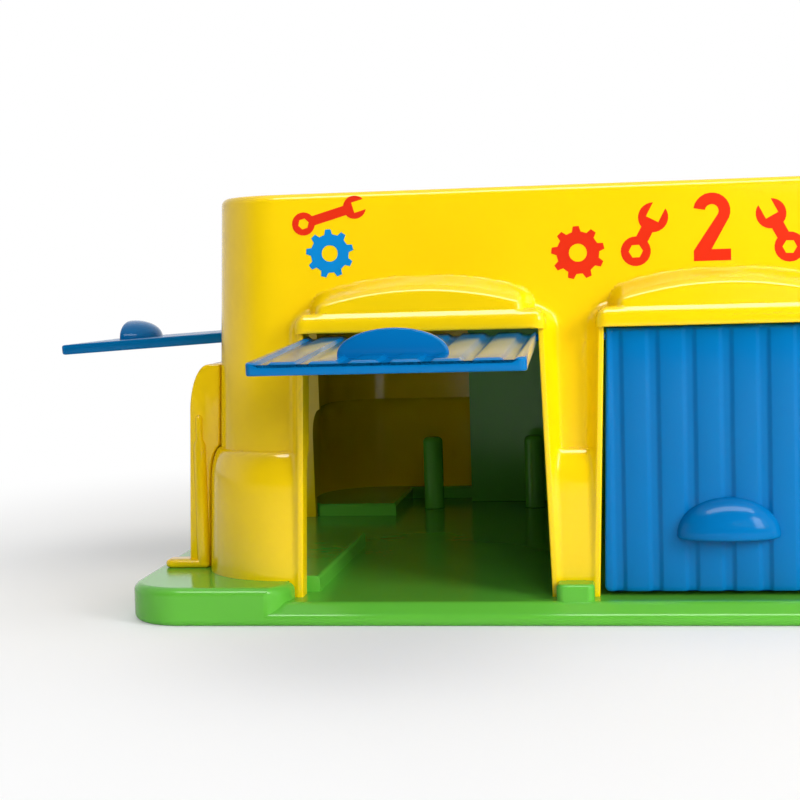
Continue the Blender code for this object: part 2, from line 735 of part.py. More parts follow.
def door_ring(z, side_inset, face_inset, groove_share):
    """One level of the door: grooved outer face, plain inner face."""
    half = door_half(z) - side_inset
    outer = -DOOR_PLATE / 2 + face_inset
    inner = DOOR_PLATE / 2 - face_inset
    floor = outer + DOOR_GROOVE_DEPTH * groove_share
    points = [(-half, outer)]
    for i in range(DOOR_GROOVE_COUNT):
        c = (i - (DOOR_GROOVE_COUNT - 1) / 2) * DOOR_GROOVE_PITCH
        points += [(c - DOOR_GROOVE_WIDTH / 2, outer), (c - DOOR_GROOVE_FLOOR_WIDTH / 2, floor),
                   (c + DOOR_GROOVE_FLOOR_WIDTH / 2, floor), (c + DOOR_GROOVE_WIDTH / 2, outer)]
    points += [(half, outer), (half, inner), (-half, inner)]
    return [(x, y, z - HINGE_HEIGHT) for x, y in points]


def door_rings():
    """The door panel from its foot up to the round head over the hinge axis."""
    rings = []
    for low, turn in quarter(EDGE_FACETS):
        z = DOOR_FOOT + DOOR_CORNER * low
        rings.append(door_ring(z, DOOR_CORNER * (1 - turn), DOOR_EDGE_ROUND * (1 - turn), 1))
    shoulder = HINGE_HEIGHT + DOOR_HEAD_REACH - DOOR_HEAD_ROUND
    for inset, rise in quarter(EDGE_FACETS):
        z = shoulder + DOOR_HEAD_ROUND * rise
        rings.append(door_ring(z, 0, DOOR_HEAD_ROUND * inset, 1 - inset))
    return rings


def handle_rings():
    """A half dome with a flat underside, standing on the door's outer face."""
    foot = DOOR_FOOT + HANDLE_ABOVE_FOOT - HINGE_HEIGHT
    face = -DOOR_PLATE / 2
    levels = [(HANDLE_UNDERSIDE_SHARE, 0)]
    for inset_share, rise in quarter(ROUND_FACETS + 1)[:-1]:
        levels.append((1 - inset_share, HANDLE_LIP + (HANDLE_HEIGHT - HANDLE_LIP) * rise))
    rings = []
    for share, rise in levels:
        ring = []
        for i in range(HANDLE_FACETS + 1):
            a = i / HANDLE_FACETS * math.pi
            x = -HANDLE_HALF_WIDTH * share * math.cos(a)
            ring.append((x, face - HANDLE_PROUD * share * math.sin(a), foot + rise))
        ring.append((HANDLE_HALF_WIDTH * share, face + HANDLE_ROOT, foot + rise))
        ring.append((-HANDLE_HALF_WIDTH * share, face + HANDLE_ROOT, foot + rise))
        rings.append(ring)
    return rings


def build_door(name, side, centre, opened, mat):
    """One door with its pins and handle, its origin on the hinge axis."""
    door = solid(name, [door_rings()], mat)
    reach = OPENING_HALF_TOP + PIN_REACH
    pin = cylinder_rings((0, 0), PIN_RADIUS, -reach, reach, PIN_FACETS, "X")
    pins = cutter(name + ".pins", [pin], mat)
    handle = cutter(name + ".handle", [handle_rings()], mat)
    boolean(door, pins, "UNION")
    boolean(door, handle, "UNION")
    hinge = turned([(centre, HINGE_DEPTH - frame_plane(side), HINGE_HEIGHT)], side)[0]
    swing = Matrix.Rotation(-OPEN_ANGLE if opened else 0, 4, "X")
    place = Matrix.Translation(hinge) @ Matrix.Rotation(side * math.pi / 2, 4, "Z") @ swing
    for obj in (door, pins, handle):
        obj.matrix_world = place
    return door


def main():
    clear_scene()
    yellow = plastic("yellow_shell", (0.90, 0.66, 0.01), 0.25)
    green = plastic("green_base", (0.13, 0.42, 0.06), 0.25)
    blue = plastic("blue_doors", (0.01, 0.20, 0.55), 0.25)
    steel = metal("screw_steel", (0.55, 0.55, 0.57), 0.35)
    left, center, right = bay_centres(FRONT)
    left_end, = bay_centres(LEFT)
    right_end, = bay_centres(RIGHT)
    build_base(green)
    build_wall("front_wall", FRONT, (left, center, right), yellow)
    build_wall("rear_wall", REAR, (), yellow)
    build_wall("left_wall", LEFT, (left_end,), yellow)
    build_wall("right_wall", RIGHT, (right_end,), yellow)
    build_column("column_front_left", FRONT, yellow)
    build_column("column_front_right", RIGHT, yellow)
    build_column("column_rear_right", REAR, yellow)
    build_column("column_rear_left", LEFT, yellow)
    build_roof(yellow)
    build_partition(green)
    for bay, pair in zip(BAY_NAMES, post_places()):
        for post, place in zip(POST_NAMES, pair):
            build_post("stop_post_%s_%s" % (bay, post), place, green)
            build_screw("post_screw_%s_%s" % (bay, post), place, steel)
    build_pump(yellow)
    build_door("door_front_left", FRONT, left, True, blue)
    build_door("door_front_center", FRONT, center, False, blue)
    build_door("door_front_right", FRONT, right, False, blue)
    build_door("door_left_end", LEFT, left_end, True, blue)
    build_door("door_right_end", RIGHT, right_end, False, blue)


main()
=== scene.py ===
import math

import bmesh
import bpy
import numpy as np
from mathutils import Matrix, Vector
from mathutils.geometry import tessellate_polygon


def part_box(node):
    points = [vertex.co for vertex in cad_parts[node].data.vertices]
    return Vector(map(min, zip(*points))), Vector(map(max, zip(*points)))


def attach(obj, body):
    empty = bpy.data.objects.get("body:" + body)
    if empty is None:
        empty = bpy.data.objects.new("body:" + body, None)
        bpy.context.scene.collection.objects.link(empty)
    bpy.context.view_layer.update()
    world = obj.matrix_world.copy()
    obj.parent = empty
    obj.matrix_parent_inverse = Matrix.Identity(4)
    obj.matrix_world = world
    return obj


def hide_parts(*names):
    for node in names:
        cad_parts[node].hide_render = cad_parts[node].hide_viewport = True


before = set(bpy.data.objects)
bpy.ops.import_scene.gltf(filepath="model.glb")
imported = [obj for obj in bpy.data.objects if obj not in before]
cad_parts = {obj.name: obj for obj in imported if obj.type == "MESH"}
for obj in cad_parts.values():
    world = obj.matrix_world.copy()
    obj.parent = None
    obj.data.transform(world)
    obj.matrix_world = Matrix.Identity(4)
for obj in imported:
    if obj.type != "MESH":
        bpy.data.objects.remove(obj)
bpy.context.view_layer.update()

# Colours, linear
YELLOW = (0.90, 0.600, 0.001)
BLUE = (0.0005, 0.145, 0.400)
GREEN = (0.115, 0.460, 0.040)
STEEL = (0.55, 0.56, 0.58)
RED = (0.72, 0.026, 0.005)
PRINT_BLUE = (0.002, 0.223, 0.578)

# Surface of the plastics: slow clouds in tint and sheen, and a fine grain
CLOUD_SCALE = 14.0
CLOUD_DETAIL = 3.0
MOTTLE = 0.06
SHEEN_SPREAD = (0.8, 1.25)
GRAIN_SCALE = 220.0
GRAIN_STRENGTH = 0.3
GRAIN_DEPTH = 0.00003
REFRACTION = 1.5

# Each finish's colour, roughness and specular level, and its mottle where it differs
LOOKS = {
    "yellow_plastic": (YELLOW, 0.13, 0.42),
    "blue_plastic": (BLUE, 0.12, 0.12),
    "green_plastic": (GREEN, 0.16, 0.32),
    "red_print": (RED, 0.20, 0.25),
    "blue_print": (PRINT_BLUE, 0.20, 0.25),
    "screw_steel": (STEEL, 0.3, 0.5, 0.1),
}

# Camera: metres and radians, with its lens and sensor in millimetres
CAMERA_PLACE = (-0.0439, -1.0524, 0.1728)
CAMERA_YAW = -0.1401
CAMERA_PITCH = 0.0697
CAMERA_ROLL = -0.0286
CAMERA_LENS = 76.04
CAMERA_SENSOR = 36.0
CAMERA_CLIP = 100.0

# Studio: the floor, and the backdrop's strength as a light and in reflections
FLOOR_REACH = 12.0
FLOOR_COLOUR = (0.86, 0.86, 0.86, 1)
FLOOR_ROUGHNESS = 0.8
FLOOR_GLOW = 0.30
FLOOR_FADE = (0.35, 0.75)
FILL_LIGHT = 0.36
FRONT_GLOSS = 0.03
GLOSS_FADE = (-0.75, -0.05)
WHITE = (1, 1, 1, 1)

# Lights: name, place, target, size, power, and whether only reflections show it
LIGHTS = (
    ("key", (1.65, -1.35, 0.92), (0, -0.1, 0.1), (0.9, 0.9), 38, False),
    ("front", (0.55, -2.1, 0.75), (-0.1, 0, 0.05), (0.8, 0.5), 15, False),
    ("back", (-0.7, 1.9, 1.2), (0, 0, 0.1), (1.0, 0.8), 16, False),
    ("top", (0.1, 0.1, 1.7), (0, 0, 0), (1.4, 1.4), 9, False),
    ("shine_over", (0.1, -0.9, 1.5), (0, -0.2, 0.1), (1.8, 0.5), 34, True),
    ("shine_right", (1.25, -1.55, 0.85), (0, -0.1, 0.1), (0.5, 0.9), 17, True),
)

# Angles over which an edge shades sharp, in degrees
SHELL_SHARP = 35.0
BASE_SHARP = 32.0
PART_SHARP = 40.0
PRINT_SHARP = 30.0

# Vertices nearer than this merge, and a corner flatter than this sine isn't rounded
WELD = 1e-6
FLAT_CORNER = 0.999

# Sides as quarter turns from the front, seen from above
FRONT, RIGHT, REAR, LEFT = 0, 1, 2, 3

# Heights of the building
LEG_FOOT = 0.0113
WALL_FOOT = 0.0197
BELT = 0.0865
SHOULDER = 0.0180
LINTEL = 0.1477
WALL_TOP = 0.2159
ROOF_ROUND = 0.0040
CEILING = 0.2163

# Walls, measured from the front plane of the doorway frames
BELT_STEP = 0.0053
WALL_DRAFT_SHARE = 0.0374
WALL_THICKNESS = 0.0030
CORNER_RADIUS = 0.0508
PANEL_MARGIN = 0.0160
PANEL_DEPTH = 0.0008

# Stand-ins: a height under every surface, and a distance past every frame
BURIED = -1.0
FAR_FROM_DOORWAY = 1.0

# Doorways with their frames
OPENING_HALF_TOP = 0.0600
OPENING_DRAFT_SHARE = 0.0328
FRAME_PROUD = 0.0008
FRAME_STRIP = 0.0029
FRAME_ROUND = 0.0006
FRAME_SWEEP = 0.0030
FRAME_SWEEP_SHARE = 0.50
FRAME_SWEEP_POWER = 2.2
FRAME_CORNER = 0.0060
FRAME_HEAD = 0.0053
FRAME_WIDTH = 0.0074
FRAME_REACH = 0.0094
JAMB_ROUND = 0.0008
JAMB_DEPTH = 0.0105

# Hood over each bay
HOOD_HALF_WIDTH = 0.0640
HOOD_PROUD = 0.0060
HOOD_BAND = 0.0098
HOOD_SHOULDER = 0.0075
HOOD_SHOULDER_DEPTH = 0.0040
HOOD_LIP_ROUND = 0.0012
HOOD_ARCH_RISE = 0.0184
HOOD_END_MARGIN = 0.0055
HOOD_CORNER = 0.0090
HOOD_BAND_CORNER = 0.0060
HOOD_CREST_ROUND = 0.0085
HOOD_CREST_MARGIN = 0.0007
HOOD_RECESS = 0.0025
HOOD_LEAN_SHARE = 0.15
HOOD_BLEND = 0.0012

# Grid of the shell: rows from foot to roof, and columns along the walls
FOOT_ROWS = 4
SKIRT_ROWS = 9
SHOULDER_ROWS = 9
WALL_ROWS = 12
LIP_ROWS = 5
BAND_ROWS = 11
ARCH_ROWS = 27
TOP_ROWS = 8
ROOF_ROWS = 7
PANEL_ROWS = 4
JAMB_COLUMNS = 4
STRIP_COLUMNS = 6
SWEEP_COLUMNS = 12
REACH_COLUMNS = 7
OPENING_COLUMNS = 53
BETWEEN_COLUMNS = 4
PLAIN_COLUMNS = 12
CORNER_COLUMNS = 18

# Doors and handles, drawn closed round the hinge axis
DOOR_PLATE = 0.0062
DOOR_EDGE_ROUND = 0.0010
DOOR_HEAD_REACH = 0.0042
DOOR_HEAD_ROUND = 0.0024
DOOR_SIDE_GAP = 0.0010
DOOR_DRAFT_SHARE = 0.0235
DOOR_CORNER = 0.0030
DOOR_FOOT = 0.0136
HINGE_HEIGHT = 0.1428
HINGE_DEPTH = 0.0044
OPEN_ANGLE = math.radians(87.0)
GROOVE_COUNT = 7
GROOVE_PITCH = 0.01812
GROOVE_WIDTH = 0.0083
GROOVE_EDGE = 0.0028
GROOVE_DEPTH = 0.0014
GROOVE_STEPS = 15
DOOR_LEVELS = 9
PIN_RADIUS = 0.0018
PIN_REACH = 0.0030
PIN_BEVEL = 0.0004
HANDLE_HALF_WIDTH = 0.0256
HANDLE_HEIGHT = 0.0205
HANDLE_PROUD = 0.0118
HANDLE_ABOVE_FOOT = 0.0270
HANDLE_ROOT = 0.0016
HANDLE_LIP = 0.0018
HANDLE_LIP_SHARE = 0.06
HANDLE_TOP_ANGLE = math.radians(88)
HANDLE_LEVELS = 14
HANDLE_STEPS = 33

# Stop posts and the fuel pump
POST_FOOT_FLARE = 0.0004
POST_TOP_ROUND = 0.0037
PUMP_WALL_GAP = 0.0006
PUMP_BODY_REACH = 0.0120
PUMP_TOP_REACH = 0.0090
PUMP_TOP_ROUND = 0.0280
PUMP_TOP_WIDTH = 0.0110
PUMP_FOOT_REACH = 0.0255
PUMP_FOOT_SPREAD = 0.0030
PUMP_FOOT_THICKNESS = 0.0045
PUMP_FOOT_DEPTH = 0.0080
PUMP_FOOT_CORNER = 0.0040
PUMP_FOOT_EDGE = 0.0020
PUMP_EDGE = 0.0012
NOZZLE_RADIUS = 0.0034
NOZZLE_TIP_RADIUS = 0.0019
NOZZLE_FROM_WALL = 0.0040
NOZZLE_SHOULDER = 0.0868
NOZZLE_TOP = 0.1035
NOZZLE_NECK = (0.9, 0.35)
NOZZLE_TOP_ANGLE = math.radians(80)

# Base
BASE_CORNER_RADIUS = 0.0300
BASE_TOP_ROUND = 0.0042
BASE_FOOT_ROUND = 0.0035
LIP = 0.0057
LIP_ROUND = 0.0015
RAMP_RUN = 0.0080
RAMP_EASE = 0.0015
PAD_CLEARANCE = 0.0025
PAD_ROUND = 0.0020
PAD_CORNER = 0.0040
FLARE_CLEARANCE = 0.0041
FLARE_WIDTH = 0.0145
FLARE_ROUND = 0.0045
FLARE_OVERRUN = 0.0002
TRENCH_OVERRUN = 0.0010
TRENCH_STEPS = 22
LEG_DEPTH = 0.0125
CURB_STEP = 0.0060
CURB_ROUND = 0.0020
REAR_PLINTH = 0.0310
FLOOR_SKIN = 0.0033
RIB_THICKNESS = 0.0030
RIM_THICKNESS = 0.0060
RIB_CELLS = (10, 8)
BOSS_RADIUS = 0.0055
SCREW_HOLES = ((0.0016, 0.0197), (0.0033, 0.0033))
FIT_GAP = 0.0003
OVERRUN = 0.0040

# Printed signs on the front wall: plain wheels, spanners and a number
PRINT_HEIGHT = 0.00015
PRINT_ROOT = 0.0001
SIGN_MIDDLE = (-0.0055, 0.1905)
SIGN_PITCH = 0.0335
SIGN_ARCH = 0.0055
SIGN_WHEEL = 0.0135
SIGN_SPANNER = (0.0340, 0.0075)
SIGN_LEANS = (0, math.radians(62), 0, math.radians(118), 0)
SIGN_NUMBER = 0.0340
BADGE_MIDDLE = (-0.2000, 0.1955)
BADGE_WHEEL = 0.0125
BADGE_WHEEL_DROP = 0.0070
BADGE_SPANNER = (0.0400, 0.0060)
BADGE_SPANNER_RISE = 0.0125
BADGE_LEAN = math.radians(16)

# Outlines of the prints, as shares of a pitch, radius, head or size
WHEEL_TEETH = 9
TOOTH = ((0.05, 0.80), (0.18, 1.0), (0.50, 1.0), (0.63, 0.80))
WHEEL_HOLE = 0.34
SHANK = 0.42
JAW = 0.46
JAW_DEPTH = 0.15
RING_HOLE = 0.48
RING_STEPS = 21
JAW_STEPS = 11
NUMBER_STROKE = 0.17
NUMBER_BOW = 0.27
NUMBER_TURN = (math.radians(170), math.radians(-38))
NUMBER_SLANT_LEFT = 0.1
NUMBER_SLANT_FOOT = 0.9
NUMBER_STEPS = 15

# Places read off the frame
BAY_PITCH = sum(corner.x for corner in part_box("door_front_right")) / 2
FRONT_PLANE = -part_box("front_wall")[0].y - HOOD_PROUD
END_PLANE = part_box("right_wall")[1].x - HOOD_PROUD
END_BAY = sum(corner.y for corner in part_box("door_right_end")) / 2
BASE_LOW, BASE_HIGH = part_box("base")
OPENING_HALF_FOOT = OPENING_HALF_TOP + (LINTEL - LEG_FOOT) * OPENING_DRAFT_SHARE
BAYS = {FRONT: (-BAY_PITCH, 0, BAY_PITCH), RIGHT: (END_BAY,), REAR: (), LEFT: (-END_BAY,)}
POSTS = ["stop_post_%s_%s" % (bay, letter)
         for bay in ("left", "center", "right") for letter in "ab"]


def quarter(count):
    """Angles from 0 to a quarter turn."""
    return np.linspace(0, math.pi / 2, count)


def circle(count):
    """Angles round a full turn."""
    return np.arange(count) / count * 2 * math.pi


def round_over(radius, count):
    """Insets and drops up a quarter round, from its side to its top."""
    return [(radius * (1 - math.cos(a)), radius * (1 - math.sin(a))) for a in quarter(count)]


def add_node(tree, kind, inputs=(), **settings):
    """A shader node with its settings and the values of its inputs."""
    node = tree.nodes.new(kind)
    for key, value in settings.items():
        setattr(node, key, value)
    for key, value in dict(inputs).items():
        node.inputs[key].default_value = value
    return node


def finish(name, colour, roughness, level, mottle=MOTTLE):
    """A glossy material with faint variation in colour and sheen."""
    mat = bpy.data.materials.new(name)
    mat.use_nodes = True
    tree = mat.node_tree
    link = tree.links.new
    shader = tree.nodes["Principled BSDF"]
    shader.inputs["IOR"].default_value = REFRACTION
    shader.inputs["Specular IOR Level"].default_value = level
    place = add_node(tree, "ShaderNodeTexCoord")
    cloud = add_node(tree, "ShaderNodeTexNoise", {"Scale": CLOUD_SCALE, "Detail": CLOUD_DETAIL})
    link(place.outputs["Object"], cloud.inputs["Vector"])
    dark = [c * (1 - mottle) for c in colour]
    pale = [min(1.0, c * (1 + mottle)) for c in colour]
    tint = add_node(tree, "ShaderNodeMix", {"A": (*dark, 1), "B": (*pale, 1)}, data_type="RGBA")
    link(cloud.outputs["Fac"], tint.inputs["Factor"])
    link(tint.outputs["Result"], shader.inputs["Base Color"])
    low, high = (roughness * share for share in SHEEN_SPREAD)
    sheen = add_node(tree, "ShaderNodeMapRange", {"To Min": low, "To Max": high})
    link(cloud.outputs["Fac"], sheen.inputs["Value"])
    link(sheen.outputs["Result"], shader.inputs["Roughness"])
    fine = add_node(tree, "ShaderNodeTexNoise", {"Scale": GRAIN_SCALE})
    link(place.outputs["Object"], fine.inputs["Vector"])
    bump = add_node(tree, "ShaderNodeBump", {"Strength": GRAIN_STRENGTH, "Distance": GRAIN_DEPTH})
    link(fine.outputs["Fac"], bump.inputs["Height"])
    link(bump.outputs["Normal"], shader.inputs["Normal"])
    return mat


FINISHES = {name: finish(name, *look) for name, look in LOOKS.items()}
FINISHES["screw_steel"].node_tree.nodes["Principled BSDF"].inputs["Metallic"].default_value = 1.0


def finish_cad_nodes():
    """Gives every CAD node that is still shown the finish of its colour."""
    for name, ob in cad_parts.items():
        kind = "yellow_plastic"
        if name.startswith("door"):
            kind = "blue_plastic"
        elif name.startswith("post_screw"):
            kind = "screw_steel"
        elif name.startswith(("base", "rear_partition", "stop_post")):
            kind = "green_plastic"
        ob.data.materials.clear()
        ob.data.materials.append(FINISHES[kind])


def add_camera():
    """The camera that matches the photo's view."""
    forward = Vector((
        math.sin(CAMERA_YAW) * math.cos(CAMERA_PITCH),
        math.cos(CAMERA_YAW) * math.cos(CAMERA_PITCH),
        -math.sin(CAMERA_PITCH),
    ))
    level = Vector((math.cos(CAMERA_YAW), -math.sin(CAMERA_YAW), 0))
    above = level.cross(forward)
    right = level * math.cos(CAMERA_ROLL) + above * math.sin(CAMERA_ROLL)
    up = above * math.cos(CAMERA_ROLL) - level * math.sin(CAMERA_ROLL)
    data = bpy.data.cameras.new("camera")
    data.lens = CAMERA_LENS
    data.sensor_width = CAMERA_SENSOR
    data.clip_end = CAMERA_CLIP
    camera = bpy.data.objects.new("camera", data)
    camera.matrix_world = Matrix.Translation(CAMERA_PLACE) @ Matrix(
        (right, up, -forward)).transposed().to_4x4()
    bpy.context.collection.objects.link(camera)
    bpy.context.scene.camera = camera


def add_light(name, place, target, size, power, mirrored):
    """A soft area light, which only the surfaces or only the reflections on them show."""
    data = bpy.data.lights.new(name, "AREA")
    data.shape = "RECTANGLE"
    data.size, data.size_y = size
    data.energy = power
    ob = bpy.data.objects.new(name, data)
    ob.location = place
    ob.rotation_euler = (Vector(target) - Vector(place)).to_track_quat("-Z", "Y").to_euler()
    ob.visible_camera = False
    ob.visible_glossy = mirrored
    ob.visible_diffuse = not mirrored
    bpy.context.collection.objects.link(ob)


def add_world():
    """White for the camera, dimmer as a light, and dark towards the front in reflections."""
    world = bpy.data.worlds.new("studio")
    bpy.context.scene.world = world
    world.use_nodes = True
    tree = world.node_tree
    link = tree.links.new
    back = tree.nodes["Background"]
    back.inputs["Color"].default_value = WHITE
    rays = add_node(tree, "ShaderNodeLightPath")
    aim = add_node(tree, "ShaderNodeTexCoord")
    split = add_node(tree, "ShaderNodeSeparateXYZ")
    link(aim.outputs["Generated"], split.inputs["Vector"])
    fade = {"From Min": GLOSS_FADE[0], "From Max": GLOSS_FADE[1], "To Min": FRONT_GLOSS}
    dim = add_node(tree, "ShaderNodeMapRange", fade, interpolation_type="SMOOTHSTEP")
    link(split.outputs["Y"], dim.inputs["Value"])
    fill = add_node(tree, "ShaderNodeMix", {"A": FILL_LIGHT})
    link(rays.outputs["Is Glossy Ray"], fill.inputs["Factor"])
    link(dim.outputs["Result"], fill.inputs["B"])
    seen = add_node(tree, "ShaderNodeMath", operation="MAXIMUM")
    link(rays.outputs["Is Camera Ray"], seen.inputs[0])
    link(rays.outputs["Is Transmission Ray"], seen.inputs[1])
    strength = add_node(tree, "ShaderNodeMix", {"B": 1.0})
    link(seen.outputs["Value"], strength.inputs["Factor"])
    link(fill.outputs["Result"], strength.inputs["A"])
    link(strength.outputs["Result"], back.inputs["Strength"])


def add_floor():
    """A white floor that keeps the object's shadow and fades into the backdrop."""
    mesh = bpy.data.meshes.new("floor")
    r = FLOOR_REACH
    mesh.from_pydata([(-r, -r, 0), (r, -r, 0), (r, r, 0), (-r, r, 0)], [], [(0, 1, 2, 3)])
    floor = bpy.data.objects.new("floor", mesh)
    bpy.context.collection.objects.link(floor)
    mat = bpy.data.materials.new("floor")
    mat.use_nodes = True
    tree = mat.node_tree
    link = tree.links.new
    shader = tree.nodes["Principled BSDF"]
    shader.inputs["Base Color"].default_value = FLOOR_COLOUR
    shader.inputs["Roughness"].default_value = FLOOR_ROUGHNESS
    shader.inputs["Specular IOR Level"].default_value = 0.0
    glow = add_node(tree, "ShaderNodeEmission", {"Color": WHITE})
    place = add_node(tree, "ShaderNodeTexCoord")
    reach = add_node(tree, "ShaderNodeVectorMath", operation="LENGTH")
    link(place.outputs["Object"], reach.inputs[0])
    ease = {"From Min": FLOOR_FADE[0], "From Max": FLOOR_FADE[1], "To Min": FLOOR_GLOW}
    fade = add_node(tree, "ShaderNodeMapRange", ease, interpolation_type="SMOOTHSTEP")
    link(reach.outputs["Value"], fade.inputs["Value"])
    rays = add_node(tree, "ShaderNodeLightPath")
    seen = add_node(tree, "ShaderNodeMath", operation="MULTIPLY")
    link(rays.outputs["Is Camera Ray"], seen.inputs[0])
    link(fade.outputs["Result"], seen.inputs[1])
    mix = add_node(tree, "ShaderNodeMixShader")
    link(seen.outputs["Value"], mix.inputs["Fac"])
    link(shader.outputs["BSDF"], mix.inputs[1])
    link(glow.outputs["Emission"], mix.inputs[2])
    link(mix.outputs["Shader"], tree.nodes["Material Output"].inputs["Surface"])
    floor.data.materials.append(mat)


def plane_of(side):
    """Distance of a side's frame plane from the middle of the building."""
    return FRONT_PLANE if side in (FRONT, REAR) else END_PLANE


def straight_of(side):
    """Half the straight run of a wall between two corner columns."""
    other = END_PLANE if side in (FRONT, REAR) else FRONT_PLANE
    return other - CORNER_RADIUS


def turned(x, y, side):
    """Turns plan places drawn for the front onto another side."""
    cos, sin = ((1, 0), (0, 1), (-1, 0), (0, -1))[side]
    return x * cos - y * sin, x * sin + y * cos


def opening_half(z):
    """Half a doorway's width, which grows towards the foot."""
    return OPENING_HALF_TOP + np.maximum(LINTEL - z, 0) * OPENING_DRAFT_SHARE


def blend_max(a, b, reach):
    """The higher of two surfaces, with a small fillet where they meet."""
    near = np.maximum(reach - np.abs(a - b), 0)
    return np.maximum(a, b) + near * near / (4 * reach)


def round_drop(inside, radius):
    """How far a round edge has dropped at a distance inside the outline."""
    turn = np.clip(1 - inside / radius, 0, 1)
    return radius * (1 - np.sqrt(1 - turn * turn))


def shoulder_step(z):
    """How far the wall steps back over the skirt's round shoulder."""
    turn = np.clip((z - BELT + SHOULDER) / SHOULDER, 0, 1)
    return BELT_STEP * (1 - np.sqrt(1 - turn * turn))


def wall_height(z):
    """The plain wall's outer face: draft, and the belt's shoulder."""
    set_back = np.maximum(z - WALL_FOOT, 0) * WALL_DRAFT_SHARE + FRAME_PROUD
    return -(set_back + shoulder_step(z))


def frame_outside(x, z):
    """Distance outside the frame's flat strip, whose upper corners are round."""
    beside = x - opening_half(z) - FRAME_STRIP
    over = z - LINTEL - FRAME_HEAD
    return -rounded_inside(-beside, -over, FRAME_CORNER)


def frame_height(x, z):
    """The doorway's frame: a flat strip, a round edge and a sweep back to the wall."""
    outside = frame_outside(x, z)
    near = (outside + FRAME_ROUND) ** 2 / FRAME_ROUND / 4
    eased = np.where(np.abs(outside) < FRAME_ROUND, near, np.maximum(outside, 0))
    wall = wall_height(z)
    left = np.clip(1 - eased / (FRAME_SWEEP - wall * FRAME_SWEEP_SHARE), 0, 1)
    swept = wall * (1 - left ** FRAME_SWEEP_POWER)
    within = np.maximum(x - opening_half(z), 0)
    return swept - np.where(z < LINTEL, round_drop(within, JAMB_ROUND), 0)


def rounded_inside(a, b, radius):
    """Distance inside two edges whose corner is round."""
    corner = radius - np.hypot(np.maximum(radius - a, 0), np.maximum(radius - b, 0))
    return np.where((a < radius) & (b < radius), corner, np.minimum(a, b))


def hood_height(x, z):
    """The hood: an upright band and a canopy that arches back to the wall."""
    top = LINTEL + HOOD_BAND
    inside = rounded_inside(HOOD_HALF_WIDTH - x, top - z, HOOD_BAND_CORNER)
    shoulder = round_drop(inside, HOOD_SHOULDER) * HOOD_SHOULDER_DEPTH / HOOD_SHOULDER
    drop = np.maximum(shoulder, round_drop(z - LINTEL, HOOD_LIP_ROUND))
    shown = (inside >= 0) & (z >= LINTEL)
    band = np.where(shown, HOOD_PROUD - drop, BURIED)
    half = HOOD_HALF_WIDTH - HOOD_END_MARGIN
    radius = (half * half + HOOD_ARCH_RISE ** 2 / 4) / HOOD_ARCH_RISE
    in_arch = radius - np.hypot(x, z - (top + HOOD_ARCH_RISE - radius))
    inside = rounded_inside(in_arch, half - x, HOOD_CORNER)
    front = HOOD_PROUD - HOOD_RECESS - HOOD_LEAN_SHARE * (z - top)
    rise = np.sin(np.clip(inside / HOOD_CREST_ROUND, 0, 1) * math.pi / 2)
    wall = wall_height(z)
    shown = (inside > 0) & (z >= LINTEL)
    canopy = np.where(shown, wall + (front - wall) * rise, BURIED)
    return blend_max(band, canopy, HOOD_BLEND)


def shell_rows():
    """Heights of the shell's rows, close together where the form turns."""
    top = LINTEL + HOOD_BAND
    crest = top + HOOD_ARCH_RISE + HOOD_CREST_MARGIN
    return np.concatenate([
        np.linspace(LEG_FOOT, WALL_FOOT, FOOT_ROWS),
        np.linspace(WALL_FOOT, BELT - SHOULDER, SKIRT_ROWS)[1:],
        BELT - SHOULDER * (1 - np.sin(quarter(SHOULDER_ROWS)[1:])),
        np.linspace(BELT, LINTEL - JAMB_ROUND / 4, WALL_ROWS)[1:],
        LINTEL + HOOD_LIP_ROUND * (1 - np.cos(quarter(LIP_ROWS))),
        [(LINTEL + HOOD_LIP_ROUND + top - HOOD_SHOULDER) / 2],
        top - HOOD_SHOULDER * (1 - np.sin(quarter(BAND_ROWS))),
        np.linspace(top, crest, ARCH_ROWS)[1:],
        np.linspace(crest, WALL_TOP, TOP_ROWS)[1:],
    ])


def frame_steps():
    """Distances from a doorway's edge at which its side has a column."""
    return np.concatenate([
        JAMB_ROUND * (1 - np.cos(quarter(JAMB_COLUMNS))),
        np.linspace(JAMB_ROUND, FRAME_STRIP, STRIP_COLUMNS)[1:],
        np.linspace(FRAME_STRIP, FRAME_WIDTH, SWEEP_COLUMNS)[1:],
        np.linspace(FRAME_WIDTH, FRAME_REACH, REACH_COLUMNS)[1:],
    ])


def shell_columns(side, rows):
    """One wall's columns: places in each row, whether in a doorway, and how far beside one."""
    half = opening_half(rows)
    steps = frame_steps()
    across = np.sin(np.linspace(-1, 1, OPENING_COLUMNS)[1:-1] * math.pi / 2)
    bays = BAYS[side]
    start, end = -straight_of(side), straight_of(side)
    columns = []
    if not bays:
        columns = [(np.full(len(rows), x), False, FAR_FROM_DOORWAY)
                   for x in np.linspace(start, end, PLAIN_COLUMNS)]
    for i, centre in enumerate(bays):
        before = start if i == 0 else (centre + bays[i - 1]) / 2
        last = i == len(bays) - 1
        after = end if last else (centre + bays[i + 1]) / 2
        count = BETWEEN_COLUMNS if len(bays) > 1 else PLAIN_COLUMNS
        left = centre - half - steps[-1]
        right = centre + half + steps[-1]
        columns += [(before + (left - before) * share, False, FAR_FROM_DOORWAY)
                    for share in np.arange(count) / count]
        columns += [(centre - half - step, False, step) for step in steps[::-1]]
        columns += [(centre + half * share, True, 0.0) for share in across]
        columns += [(centre + half + step, False, step) for step in steps]
        columns += [(right + (after - right) * share, False, FAR_FROM_DOORWAY)
                    for share in np.arange(1, count + last) / count]
    places, inside, margin = zip(*columns)
    return np.array(places).T, np.array(inside), np.array(margin)


